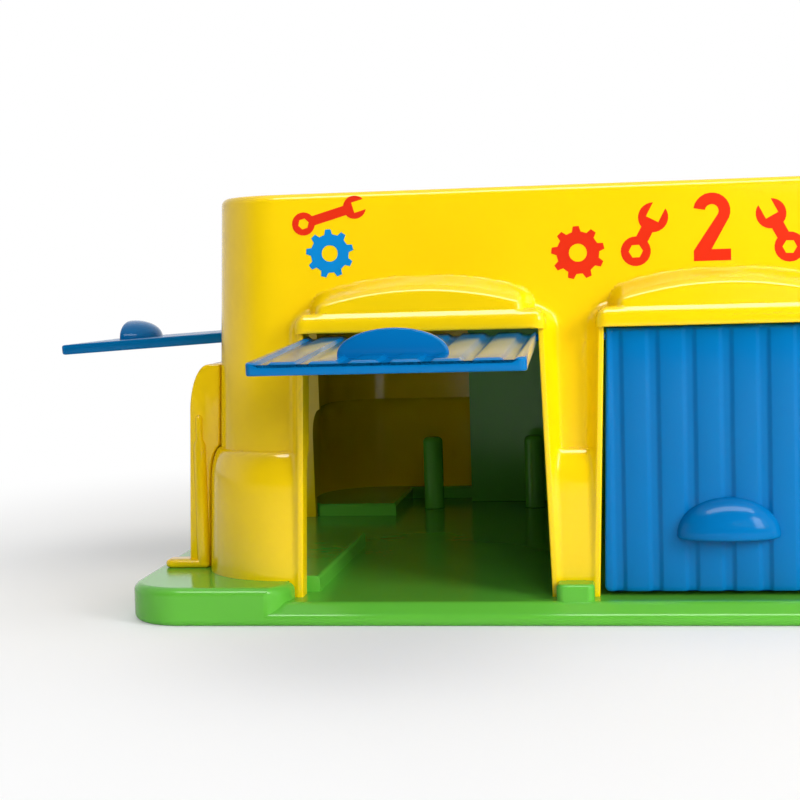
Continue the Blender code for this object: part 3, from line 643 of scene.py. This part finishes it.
def wall_grid(side, rows):
    """One wall's grid: places, heights over the frame plane outside and in, and doorways."""
    x, inside, margin = shell_columns(side, rows[:, 0])
    z = rows + 0 * x
    height = wall_height(z)
    depth = height - WALL_THICKNESS
    for centre in BAYS[side]:
        off = np.abs(x - centre)
        height = np.maximum(height, frame_height(off, z))
        height = blend_max(height, hood_height(off, z), HOOD_BLEND)
        beside = frame_outside(off, z) < FRAME_WIDTH - FRAME_STRIP
        over = (off < HOOD_HALF_WIDTH) & (z > LINTEL - JAMB_ROUND) & (z < LINTEL + HOOD_BAND)
        jamb = JAMB_DEPTH + shoulder_step(z)
        depth = np.where(beside | over, np.minimum(depth, -jamb), depth)
    return x, height, depth, inside, margin


def shell_surface(side, x, height):
    """A wall's places in plan, a height over its frame plane."""
    return turned(x, -(plane_of(side) + height), side)


def arc_surface(side, angles, height):
    """The corner column at the right end of a side, seen from outside."""
    reach = CORNER_RADIUS + height
    x = straight_of(side) + reach * np.sin(angles)
    y = -(plane_of(side) - CORNER_RADIUS) - reach * np.cos(angles)
    return turned(x, y, side)


def roof_brim():
    """Insets and heights of the roof's rows: its round edge, and the panel sunk in it."""
    deck = WALL_TOP + ROOF_ROUND
    brim = [(ROOF_ROUND * (1 - math.cos(a)), WALL_TOP + ROOF_ROUND * math.sin(a))
            for a in quarter(ROOF_ROWS)[1:]]
    half = PANEL_DEPTH / 2
    sink = quarter(PANEL_ROWS)
    brim += [(PANEL_MARGIN + half * math.sin(a), deck - half * (1 - math.cos(a))) for a in sink]
    brim += [(PANEL_MARGIN + half * (2 - math.cos(a)), deck - half * (1 + math.sin(a)))
             for a in sink[1:]]
    return np.array(brim).T[:, :, None]


def build_shell():
    """Walls, columns and roof as one moulding, with its inside."""
    rows = shell_rows()[:, None]
    inset, brim_z = roof_brim()
    top = wall_height(WALL_TOP) - inset
    arcs = quarter(CORNER_COLUMNS)[None, 1:-1]
    outer, inner, insides, margins = [], [], [], []

    def add(surface, side, place, height, depth):
        """Adds the outer and inner grids of a wall or a column, the roof's rows on the outer."""
        roof = np.repeat(place[-1:], len(inset), 0)
        above = np.vstack([height, top + 0 * roof])
        x, y = surface(side, np.vstack([place, roof]), above)
        outer.append(np.stack([x, y, np.vstack([rows + 0 * place, brim_z + 0 * roof])], -1))
        x, y = surface(side, place, depth)
        inner.append(np.stack([x, y, rows + 0 * place], -1))

    for side in (FRONT, RIGHT, REAR, LEFT):
        x, height, depth, inside, margin = wall_grid(side, rows)
        add(shell_surface, side, x, height, depth)
        turn = arcs + 0 * rows
        height = wall_height(rows + 0 * turn)
        add(arc_surface, side, turn, height, height - WALL_THICKNESS)
        insides += [inside, np.zeros(arcs.size, bool)]
        margins += [margin, np.full(arcs.size, FAR_FROM_DOORWAY)]
    outer = np.concatenate(outer, 1)
    inner = np.concatenate(inner, 1)
    inner[-1, :, 2] = CEILING
    return shell_mesh(outer, inner, rows[:, 0], np.concatenate(insides), np.concatenate(margins))


def shell_mesh(outer, inner, rows, inside, margin):
    """Joins the outer and inner grids round the doorways and along the foot."""
    total, count = outer.shape[:2]
    low = len(rows)
    following = (np.arange(count) + 1) % count
    middle = (rows[1:] + rows[:-1]) / 2
    doorway = inside | inside[following]
    leg = (margin <= FRAME_WIDTH) & (margin[following] <= FRAME_WIDTH)
    shown = np.ones((total - 1, count), bool)
    shown[:low - 1] &= ~(doorway[None, :] & (middle < LINTEL)[:, None])
    shown[:low - 1] &= leg[None, :] | (middle > WALL_FOOT)[:, None]
    first_inner = total * count
    faces = []
    for j in range(total - 1):
        for i in range(count):
            if not shown[j, i]:
                continue
            k = following[i]
            a, b = j * count + i, j * count + k
            c, d = b + count, a + count
            faces.append((a, b, c, d))
            if j >= low - 1:
                continue
            e, f, g, h = (first_inner + v for v in (a, b, c, d))
            faces.append((h, g, f, e))
            if j == 0 or not shown[j - 1, i]:
                faces.append((b, a, e, f))
            if j < low - 2 and not shown[j + 1, i]:
                faces.append((d, c, g, h))
            if not shown[j, i - 1]:
                faces.append((a, d, h, e))
            if not shown[j, k]:
                faces.append((c, b, f, g))
    faces.append(tuple((total - 1) * count + i for i in range(count)))
    faces.append(tuple(first_inner + (low - 1) * count + i for i in reversed(range(count))))
    verts = np.concatenate([outer.reshape(-1, 3), inner.reshape(-1, 3)])
    return verts, faces


def add_piece(name, verts, faces, look, body, replaced, sharp=PART_SHARP):
    """A new piece of the object, in place of CAD nodes."""
    mesh = bpy.data.meshes.new(name)
    mesh.from_pydata([tuple(v) for v in verts], [], faces)
    bm = bmesh.new()
    bm.from_mesh(mesh)
    loose = [v for v in bm.verts if not v.link_faces]
    bmesh.ops.delete(bm, geom=loose, context="VERTS")
    bmesh.ops.remove_doubles(bm, verts=bm.verts, dist=WELD)
    bm.to_mesh(mesh)
    bm.free()
    mesh.shade_smooth()
    mesh.set_sharp_from_angle(angle=math.radians(sharp))
    piece = bpy.data.objects.new(name, mesh)
    bpy.context.collection.objects.link(piece)
    mesh.materials.append(FINISHES[look])
    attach(piece, body)
    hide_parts(*replaced)
    return piece


def groove_profile(offset):
    """Depth share of a groove across its width, with soft edges."""
    rest = np.clip((GROOVE_WIDTH / 2 - np.abs(offset)) / GROOVE_EDGE, 0, 1)
    return rest * rest * (3 - 2 * rest)


def door_outline(half, face_inset, groove_share):
    """One level of a door seen from above: grooved outside, plain inside."""
    turn = quarter(5)
    edge_x = half - DOOR_EDGE_ROUND * (1 - np.sin(turn))
    edge_y = DOOR_EDGE_ROUND * (1 - np.cos(turn))
    across = np.linspace(-GROOVE_WIDTH / 2, GROOVE_WIDTH / 2, GROOVE_STEPS)
    centres = (np.arange(GROOVE_COUNT) - (GROOVE_COUNT - 1) / 2) * GROOVE_PITCH
    grooves_x = (centres[:, None] + across).ravel()
    grooves_y = np.tile(GROOVE_DEPTH * groove_share * groove_profile(across), GROOVE_COUNT)
    face = DOOR_PLATE / 2 - face_inset
    x = np.concatenate([-edge_x[::-1], grooves_x, edge_x, edge_x[::-1], -edge_x])
    outer = np.concatenate([edge_y[::-1], grooves_y, edge_y]) - face
    inner = face - np.concatenate([edge_y[::-1], edge_y])
    return x, np.concatenate([outer, inner])


def door_levels():
    """Heights of the door's outlines, with their insets and the grooves' share."""
    low = DOOR_FOOT + DOOR_CORNER
    high = HINGE_HEIGHT + DOOR_HEAD_REACH - DOOR_HEAD_ROUND
    levels = []
    for a in quarter(7):
        z = low - DOOR_CORNER * math.cos(a)
        short = 1 - math.sin(a)
        levels.append((z, DOOR_CORNER * short, DOOR_EDGE_ROUND * short, 1))
    levels += [(z, 0, 0, 1) for z in np.linspace(low, high, DOOR_LEVELS)[1:]]
    for a in quarter(7)[1:]:
        face_inset = DOOR_HEAD_ROUND * (1 - math.cos(a))
        levels.append((high + DOOR_HEAD_ROUND * math.sin(a), 0, face_inset, math.cos(a)))
    return levels


def loft(rings):
    """Vertices and faces through closed rings of equal length, capped at both ends."""
    count = len(rings[0])
    verts = [v for ring in rings for v in ring]
    faces = []
    for j in range(len(rings) - 1):
        for i in range(count):
            k = (i + 1) % count
            faces.append(tuple(j * count + v for v in (i, k, k + count, i + count)))
    faces.append(tuple(reversed(range(count))))
    faces.append(tuple(range(len(verts) - count, len(verts))))
    return verts, faces


def joined(parts):
    """Several meshes as one list of vertices and faces."""
    verts, faces = [], []
    for part_verts, part_faces in parts:
        start = len(verts)
        verts += list(part_verts)
        faces += [tuple(start + i for i in face) for face in part_faces]
    return verts, faces


def rod(radius, low, high, bevel, count=24):
    """A rod along X with round ends."""
    steps = round_over(bevel, 4)
    levels = [(low + inset, radius - drop) for inset, drop in steps]
    levels += [(high - inset, radius - drop) for inset, drop in steps[::-1]]
    return loft([[(x, r * math.cos(a), r * math.sin(a)) for a in circle(count)] for x, r in levels])


def door_panel():
    """A door's grooved plate with its two pins, round the hinge axis."""
    rings = []
    for z, side_inset, face_inset, groove_share in door_levels():
        wider = (LINTEL - z) * DOOR_DRAFT_SHARE
        half = OPENING_HALF_TOP - DOOR_SIDE_GAP + wider - side_inset
        x, y = door_outline(half, face_inset, groove_share)
        rings.append([(a, b, z - HINGE_HEIGHT) for a, b in zip(x, y)])
    pins = [rod(PIN_RADIUS, root - PIN_REACH, root + PIN_REACH, PIN_BEVEL)
            for root in (-OPENING_HALF_TOP, OPENING_HALF_TOP)]
    return joined([loft(rings)] + pins)


def door_handle():
    """A half dome with a flat underside and a round lip."""
    foot = DOOR_FOOT + HANDLE_ABOVE_FOOT - HINGE_HEIGHT
    face = -DOOR_PLATE / 2
    levels = [(1 - HANDLE_LIP_SHARE * (1 - math.sin(a)), HANDLE_LIP * (1 - math.cos(a)))
              for a in quarter(5)]
    for a in np.linspace(0, HANDLE_TOP_ANGLE, HANDLE_LEVELS)[1:]:
        levels.append((math.cos(a), HANDLE_LIP + (HANDLE_HEIGHT - HANDLE_LIP) * math.sin(a)))
    rings = []
    for share, rise in levels:
        half, proud = HANDLE_HALF_WIDTH * share, HANDLE_PROUD * share
        plan = [(-half * math.cos(a), face - proud * math.sin(a))
                for a in np.linspace(0, math.pi, HANDLE_STEPS)]
        plan += [(half, face + HANDLE_ROOT), (-half, face + HANDLE_ROOT)]
        rings.append([(x, y, foot + rise) for x, y in plan])
    return loft(rings)


def middle_of(node):
    """The middle of a node in plan."""
    low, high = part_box(node)
    return (low.x + high.x) / 2, (low.y + high.y) / 2


def lathe(centre, profile, count=48):
    """A turned form about an upright line, from (radius, height) pairs."""
    x, y = centre
    return loft([[(x + r * math.cos(a), y + r * math.sin(a), z) for a in circle(count)]
                 for r, z in profile])


def add_posts():
    """The six stop posts, each with a round top and a small fillet at its foot."""
    for node in POSTS:
        low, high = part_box(node)
        radius = (high.x - low.x) / 2 - POST_FOOT_FLARE
        profile = [(radius + out, low.z + rise) for rise, out in round_over(POST_FOOT_FLARE, 7)]
        profile += [(radius - inset, high.z - drop)
                    for inset, drop in round_over(POST_TOP_ROUND, 7)]
        verts, faces = lathe(middle_of(node), profile)
        add_piece(node + "_turned", verts, faces, "green_plastic", "building", [node])


def rounded_outline(points, radii, steps=8):
    """A closed outline whose corners are round, each by its own radius."""
    outline = []
    count = len(points)
    for i, (corner, radius) in enumerate(zip(points, radii)):
        corner = np.array(corner)
        before = np.array(points[i - 1]) - corner
        after = np.array(points[(i + 1) % count]) - corner
        before = before / np.linalg.norm(before)
        after = after / np.linalg.norm(after)
        half = math.acos(np.clip(np.dot(before, after), -1, 1)) / 2
        if radius <= 0 or math.sin(half) > FLAT_CORNER:
            outline.append(tuple(corner))
            continue
        start = corner + before * radius / math.tan(half)
        end = corner + after * radius / math.tan(half)
        inwards = (before + after) / np.linalg.norm(before + after)
        middle = corner + inwards * radius / math.sin(half)
        for share in np.linspace(0, 1, steps + 1):
            p = start * (1 - share) + end * share - middle
            outline.append(tuple(middle + p / np.linalg.norm(p) * radius))
    return outline


def bevelled(verts, faces, width, segments=3, angle=PART_SHARP):
    """The same solid with its sharp edges rounded."""
    bm = bmesh.new()
    made = [bm.verts.new(v) for v in verts]
    for face in faces:
        bm.faces.new([made[i] for i in face])
    bmesh.ops.recalc_face_normals(bm, faces=bm.faces)
    limit = math.radians(angle)
    sharp = [e for e in bm.edges if len(e.link_faces) == 2 and e.calc_face_angle() > limit]
    bmesh.ops.bevel(bm, geom=sharp, offset=width, segments=segments, profile=0.5,
                    affect="EDGES", clamp_overlap=True)
    bm.verts.index_update()
    result = [tuple(v.co) for v in bm.verts], [tuple(v.index for v in f.verts) for f in bm.faces]
    bm.free()
    return result


def add_pump():
    """The fuel pump: a slim upright with a round shoulder, a spread foot and a nozzle."""
    low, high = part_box("fuel_pump")
    wall = END_PLANE - FRAME_PROUD
    inner = -(wall + PUMP_WALL_GAP)
    front = low.y + PUMP_FOOT_SPREAD
    foot_back = front + PUMP_FOOT_DEPTH + PUMP_FOOT_SPREAD
    top = high.z
    shoulder_rows = BELT - SHOULDER * (1 - np.sin(quarter(SHOULDER_ROWS)))
    rise = np.concatenate([[WALL_FOOT], shoulder_rows, [top]])
    side = [(-(wall + PUMP_BODY_REACH), WALL_FOOT)]
    side += [(inner - FRAME_PROUD - wall_height(z), z) for z in rise]
    middle = PUMP_TOP_WIDTH - wall - PUMP_TOP_REACH
    side += [(middle - PUMP_TOP_WIDTH * math.sin(a), top - PUMP_TOP_ROUND * (1 - math.cos(a)))
             for a in quarter(15)]
    body = bevelled(*loft([[(x, y, z) for x, z in side] for y in (front, high.y)]), PUMP_EDGE)
    reach = -(wall + PUMP_FOOT_REACH)
    plan = rounded_outline([(reach, low.y), (inner, low.y), (inner, foot_back), (reach, foot_back)],
                           (PUMP_FOOT_CORNER, 0, 0, PUMP_FOOT_CORNER))
    foot_top = WALL_FOOT + PUMP_FOOT_THICKNESS
    foot = loft([[(x, y, z) for x, y in plan] for z in (WALL_FOOT, foot_top)])
    foot = bevelled(*foot, PUMP_FOOT_EDGE)
    neck_width, neck_rise = NOZZLE_NECK
    shaft = [
        (NOZZLE_RADIUS, WALL_FOOT + PUMP_FOOT_THICKNESS / 3),
        (NOZZLE_RADIUS, NOZZLE_SHOULDER),
        (NOZZLE_RADIUS * neck_width, NOZZLE_SHOULDER + NOZZLE_RADIUS * neck_rise),
        (NOZZLE_TIP_RADIUS, NOZZLE_SHOULDER + NOZZLE_RADIUS),
    ]
    shaft += [(NOZZLE_TIP_RADIUS * math.cos(a), NOZZLE_TOP - NOZZLE_TIP_RADIUS * (1 - math.sin(a)))
              for a in np.linspace(0, NOZZLE_TOP_ANGLE, 5)]
    nozzle = lathe((-(wall + NOZZLE_FROM_WALL), front), shaft, 24)
    for part, (verts, faces) in (("body", body), ("foot", foot), ("nozzle", nozzle)):
        add_piece("fuel_pump_" + part, verts, faces, "yellow_plastic", "building", ["fuel_pump"])


def arc(radius, angles, x=0.0, z=0.0):
    """Points round a middle."""
    return [(x + radius * math.cos(a), z + radius * math.sin(a)) for a in angles]


def wheel_outlines(radius):
    """A cog wheel with a round hole."""
    rim = []
    for i in range(WHEEL_TEETH):
        for share, reach in TOOTH:
            rim += arc(radius * reach, [(i + share) / WHEEL_TEETH * 2 * math.pi])
    return [rim, arc(radius * WHEEL_HOLE, circle(20))]


def spanner_outlines(length, head):
    """A spanner with a ring at one end and an open jaw at the other."""
    reach = length / 2 - head
    lean = math.asin(SHANK)
    gap = math.asin(JAW)
    slot = head * JAW
    depth = reach - head * JAW_DEPTH
    outline = arc(head, np.linspace(lean, 2 * math.pi - lean, RING_STEPS), -reach)
    outline += arc(head, np.linspace(math.pi + lean, 2 * math.pi - gap, JAW_STEPS), reach)
    outline += [(depth, -slot), (depth, slot)]
    outline += arc(head, np.linspace(gap, math.pi - lean, JAW_STEPS), reach)
    return [outline, arc(head * RING_HOLE, circle(6), -reach)]


def number_outlines(size):
    """A plain 2, from a round bow, a slant and a foot."""
    thick = size * NUMBER_STROKE
    bow = size * NUMBER_BOW
    foot = -size / 2
    turn = np.linspace(*NUMBER_TURN, NUMBER_STEPS)
    outline = arc(bow, turn, 0, size / 2 - bow)
    outline += [((thick - bow) * NUMBER_SLANT_LEFT, foot + thick), (bow, foot + thick), (bow, foot)]
    outline += [(-bow, foot), (-bow, foot + thick * NUMBER_SLANT_FOOT)]
    return [outline + arc(bow - thick, turn[::-1], 0, size / 2 - bow)]


def placed(outlines, x, z, angle=0.0):
    """Outlines turned by an angle and set at a place on the wall."""
    cos, sin = math.cos(angle), math.sin(angle)
    return [[(x + a * cos - b * sin, z + a * sin + b * cos) for a, b in ring] for ring in outlines]


def print_body(outlines):
    """A thin raised print that follows the front wall."""
    points = [p for ring in outlines for p in ring]
    count = len(points)
    verts = []
    for lift in (PRINT_HEIGHT, -PRINT_ROOT):
        verts += [(x, -(FRONT_PLANE + wall_height(z) + lift), z) for x, z in points]
    flat = [[Vector((x, z, 0)) for x, z in ring] for ring in outlines]
    faces = []
    for a, b, c in tessellate_polygon(flat):
        faces += [(a, b, c), (count + c, count + b, count + a)]
    start = 0
    for ring in outlines:
        for i in range(len(ring)):
            k = start + (i + 1) % len(ring)
            faces.append((start + i, k, count + k, count + start + i))
        start += len(ring)
    return verts, faces


def face_outwards(mesh):
    """Turns all faces of a closed mesh outwards."""
    bm = bmesh.new()
    bm.from_mesh(mesh)
    bmesh.ops.recalc_face_normals(bm, faces=bm.faces)
    bm.to_mesh(mesh)
    bm.free()


def add_print(name, designs, look):
    """One piece of several outlines in the same colour."""
    verts, faces = joined([print_body(outlines) for outlines in designs])
    piece = add_piece(name, verts, faces, look, "building", [], PRINT_SHARP)
    face_outwards(piece.data)


def add_signs():
    """The sign over the center bay and the badge at the left, with generic designs."""
    x, z = SIGN_MIDDLE
    wheel, spanner = wheel_outlines(SIGN_WHEEL), spanner_outlines(*SIGN_SPANNER)
    designs = []
    row = (wheel, spanner, number_outlines(SIGN_NUMBER), spanner, wheel)
    for i, (outlines, lean) in enumerate(zip(row, SIGN_LEANS)):
        off = i - len(row) // 2
        rise = SIGN_ARCH * (1 - off * off / 2)
        designs.append(placed(outlines, x + off * SIGN_PITCH, z + rise, lean))
    add_print("sign_print", designs, "red_print")
    x, z = BADGE_MIDDLE
    wheel = placed(wheel_outlines(BADGE_WHEEL), x, z - BADGE_WHEEL_DROP)
    spanner = placed(spanner_outlines(*BADGE_SPANNER), x, z + BADGE_SPANNER_RISE, BADGE_LEAN)
    add_print("badge_print_wheel", [wheel], "blue_print")
    add_print("badge_print_spanner", [spanner], "red_print")


def rounded_ring(low, high, radius, z, steps=16):
    """A level ring round a rectangle whose corners are round."""
    middle = ((low[0] + high[0]) / 2, (low[1] + high[1]) / 2)
    half = ((high[0] - low[0]) / 2, (high[1] - low[1]) / 2)
    ring = []
    for turn, (sx, sy) in enumerate(((1, 1), (-1, 1), (-1, -1), (1, -1))):
        for i in range(steps + 1):
            a = (turn + i / steps) * math.pi / 2
            ring.append((middle[0] + sx * (half[0] - radius) + radius * math.cos(a),
                         middle[1] + sy * (half[1] - radius) + radius * math.sin(a), z))
    return ring


def box_body(low, high):
    """A box between two corners."""
    x0, y0, z0 = low
    x1, y1, z1 = high
    return loft([[(x0, y0, z), (x1, y0, z), (x1, y1, z), (x0, y1, z)] for z in (z0, z1)])


def side_box(side, x0, x1, near, far, z0, z1):
    """A box drawn before one side: from x0 to x1 along it, near to far out of it."""
    plan = ((x0, -far), (x1, -far), (x1, -near), (x0, -near))
    return loft([[(*turned(x, y, side), z) for x, y in plan] for z in (z0, z1)])


def grown_ring(low, high, out, radius, z, steps=16):
    """A rounded ring round a rectangle that is grown by a distance on all sides."""
    low = (low[0] - out, low[1] - out)
    high = (high[0] + out, high[1] + out)
    return rounded_ring(low, high, radius, z, steps)


def sunk_body(low, high, floor, edge):
    """A cutter that sinks a rectangle and rounds the edge round it."""
    levels = [(0.0, floor)]
    levels += [(out, WALL_FOOT - drop) for out, drop in round_over(edge, 6)]
    levels.append((edge, WALL_FOOT + OVERRUN))
    return loft([grown_ring(low, high, out, edge / 2 + out, z, 4) for out, z in levels])


def apron_height(out, edge):
    """The floor before the doorways: level, then sloping down to a round lip."""
    start = edge - RAMP_RUN
    fall = (LEG_FOOT - LIP) / RAMP_RUN
    past = out - start
    eased = (past + RAMP_EASE) ** 2 / RAMP_EASE / 4 if abs(past) < RAMP_EASE else max(past, 0)
    lip = min(max(out - edge + LIP_ROUND, 0), LIP_ROUND)
    return LEG_FOOT - fall * eased - LIP_ROUND + math.sqrt(LIP_ROUND ** 2 - lip ** 2)


def trench_body(side):
    """The cutter for the floor before the doorways of one side, between the plinth's round ends."""
    plane = plane_of(side)
    edge = BASE_HIGH.y if side == FRONT else BASE_HIGH.x
    reach = edge + FLARE_OVERRUN - plane
    lip = edge - LIP_ROUND * (1 - np.sin(quarter(6)))
    outs = np.concatenate([np.linspace(plane, lip[0], TRENCH_STEPS), lip[1:],
                           [edge + TRENCH_OVERRUN]])
    rings = []
    for out in outs:
        along = min((out - plane) / reach, 1)
        flare = OPENING_HALF_FOOT + FLARE_CLEARANCE
        flare += FLARE_WIDTH * (1 - math.sqrt(1 - along * along))
        floor = apron_height(out, edge)
        section = [(0.0, floor)]
        section += [(inset, WALL_FOOT - drop) for inset, drop in round_over(FLARE_ROUND, 9)]
        section.append((FLARE_ROUND, WALL_FOOT + OVERRUN))
        right = [(max(BAYS[side]) + flare + x, z) for x, z in section]
        left = [(min(BAYS[side]) - flare - x, z) for x, z in section[::-1]]
        rings.append([(*turned(x, -out, side), z) for x, z in left + right])
    return loft(rings)


def pad_body(centre):
    """A round-edged pad between two front bays."""
    half = BAY_PITCH / 2 - OPENING_HALF_FOOT - PAD_CLEARANCE
    near = FRONT_PLANE - PAD_CORNER
    far = BASE_HIGH.y - RAMP_RUN
    levels = [(0.0, LEG_FOOT - FLOOR_SKIN / 2)]
    levels += [(inset, WALL_FOOT - drop) for inset, drop in round_over(PAD_ROUND, 6)]
    return loft([rounded_ring((centre - half + inset, inset - far), (centre + half - inset, -near),
                              PAD_CORNER - inset, z) for inset, z in levels])


def slab_body():
    """The base before it is hollowed, with its round edges."""
    levels = round_over(BASE_FOOT_ROUND, 8)[::-1]
    levels += [(inset, WALL_FOOT - drop) for inset, drop in round_over(BASE_TOP_ROUND, 10)]
    return loft([grown_ring(BASE_LOW, BASE_HIGH, -inset, BASE_CORNER_RADIUS - inset, z, 20)
                 for inset, z in levels])


def cell_bodies():
    """The cells between the ribs under the floor, left out at the round corners."""
    count_x, count_y = RIB_CELLS
    width = (BASE_HIGH.x - BASE_LOW.x - 2 * RIM_THICKNESS) / count_x
    depth = (BASE_HIGH.y - BASE_LOW.y - 2 * RIM_THICKNESS) / count_y
    bodies = []
    for i in range(count_x):
        for j in range(count_y):
            if i in (0, count_x - 1) and j in (0, count_y - 1):
                continue
            x = BASE_LOW.x + RIM_THICKNESS + i * width + RIB_THICKNESS / 2
            y = BASE_LOW.y + RIM_THICKNESS + j * depth + RIB_THICKNESS / 2
            far = (x + width - RIB_THICKNESS, y + depth - RIB_THICKNESS, LEG_FOOT - FLOOR_SKIN)
            bodies.append(box_body((x, y, -OVERRUN), far))
    return bodies


def carved(body, steps):
    """A solid after a list of (operation, bodies) has been worked on it."""
    def temporary(parts):
        """An object of its own for the parts, with its faces turned outwards."""
        mesh = bpy.data.meshes.new("work")
        verts, faces = joined(parts)
        mesh.from_pydata([tuple(v) for v in verts], [], faces)
        face_outwards(mesh)
        ob = bpy.data.objects.new("work", mesh)
        bpy.context.collection.objects.link(ob)
        return ob

    base = temporary([body])
    tools = []
    for operation, parts in steps:
        tools.append(temporary(parts))
        mod = base.modifiers.new("work", "BOOLEAN")
        mod.operation = operation
        mod.solver = "EXACT"
        mod.object = tools[-1]
    shaped = base.evaluated_get(bpy.context.evaluated_depsgraph_get()).to_mesh()
    verts = [tuple(v.co) for v in shaped.vertices]
    faces = [tuple(p.vertices) for p in shaped.polygons]
    for ob in [base] + tools:
        bpy.data.objects.remove(ob)
    return verts, faces


def add_base():
    """The green base with its sunk hall, aprons, pads and ribs."""
    rear = BASE_HIGH.y - REAR_PLINTH
    front = FRONT_PLANE - LEG_DEPTH - FIT_GAP
    hall_half = BAY_PITCH + OPENING_HALF_FOOT - CURB_STEP
    pad_side = OPENING_HALF_FOOT + PAD_CLEARANCE
    ends = END_PLANE - FRAME_PROUD - OVERRUN
    leg = OPENING_HALF_FOOT + FRAME_WIDTH + FIT_GAP
    hall = sunk_body((-hall_half, -front), (hall_half, rear), LEG_FOOT, CURB_ROUND)
    crossing = sunk_body((-ends, END_BAY - pad_side), (ends, END_BAY + pad_side),
                         LEG_FOOT, CURB_ROUND)
    legs, links = [], []
    for side in (FRONT, RIGHT, LEFT):
        plane = plane_of(side)
        for c in BAYS[side]:
            legs.append(side_box(side, c - leg, c + leg, plane - LEG_DEPTH - FIT_GAP,
                                 plane + FIT_GAP, LEG_FOOT, WALL_FOOT + OVERRUN))
            links.append(side_box(side, c - pad_side, c + pad_side, plane - LEG_DEPTH - OVERRUN,
                                  plane - LEG_DEPTH, LEG_FOOT, WALL_FOOT + OVERRUN))
    posts = [middle_of(node) for node in POSTS]
    boss = [(BOSS_RADIUS, 0.0), (BOSS_RADIUS, LEG_FOOT - FLOOR_SKIN / 2)]
    steps = [
        ("DIFFERENCE", cell_bodies()),
        ("UNION", [lathe(p, boss, 32) for p in posts]),
        ("DIFFERENCE", [hall]),
        ("DIFFERENCE", [crossing]),
        ("DIFFERENCE", [trench_body(side) for side in (FRONT, RIGHT, LEFT)]),
        ("UNION", [pad_body(c * BAY_PITCH / 2) for c in (-1, 1)]),
        ("DIFFERENCE", legs),
        ("DIFFERENCE", links),
    ]
    steps += [("DIFFERENCE", [lathe(p, [(radius, -OVERRUN), (radius, top)], 24) for p in posts])
              for radius, top in SCREW_HOLES]
    verts, faces = carved(slab_body(), steps)
    piece = add_piece("garage_base", verts, faces, "green_plastic", "building",
                      ["base"], BASE_SHARP)
    even = piece.modifiers.new("even", "WEIGHTED_NORMAL")
    even.keep_sharp = True


def hinged(verts, side, centre, opened):
    """Puts points drawn round a closed door's axis where the door rests."""
    swing = Matrix.Rotation(-OPEN_ANGLE if opened else 0.0, 4, "X")
    at = Vector((centre, HINGE_DEPTH - plane_of(side), HINGE_HEIGHT))
    place = Matrix.Rotation(side * math.pi / 2, 4, "Z") @ Matrix.Translation(at) @ swing
    return [place @ Vector(v) for v in verts]


def add_doors():
    """The five doors, each a plate and a handle, in the places where they rest."""
    doors = (
        ("door_front_left", "front_left_door", FRONT, -BAY_PITCH, True),
        ("door_front_center", "front_center_door", FRONT, 0, False),
        ("door_front_right", "front_right_door", FRONT, BAY_PITCH, False),
        ("door_left_end", "left_end_door", LEFT, -END_BAY, True),
        ("door_right_end", "right_end_door", RIGHT, END_BAY, False),
    )
    for node, body, side, centre, opened in doors:
        for part, (verts, faces) in (("panel", door_panel()), ("handle", door_handle())):
            points = hinged(verts, side, centre, opened)
            add_piece(node + "_" + part, points, faces, "blue_plastic", body, [node])


def add_shell():
    """The shell, in place of the solids that it is split into."""
    verts, faces = build_shell()
    walls = ["front_wall", "rear_wall", "left_wall", "right_wall", "roof"]
    columns = ["column_front_left", "column_front_right", "column_rear_left", "column_rear_right"]
    add_piece("garage_shell", verts, faces, "yellow_plastic", "building",
              walls + columns, SHELL_SHARP)


finish_cad_nodes()
add_shell()
add_base()
add_doors()
add_posts()
add_pump()
add_signs()
add_camera()
add_world()
add_floor()
for light in LIGHTS:
    add_light(*light)
bpy.context.scene.view_settings.view_transform = "Standard"
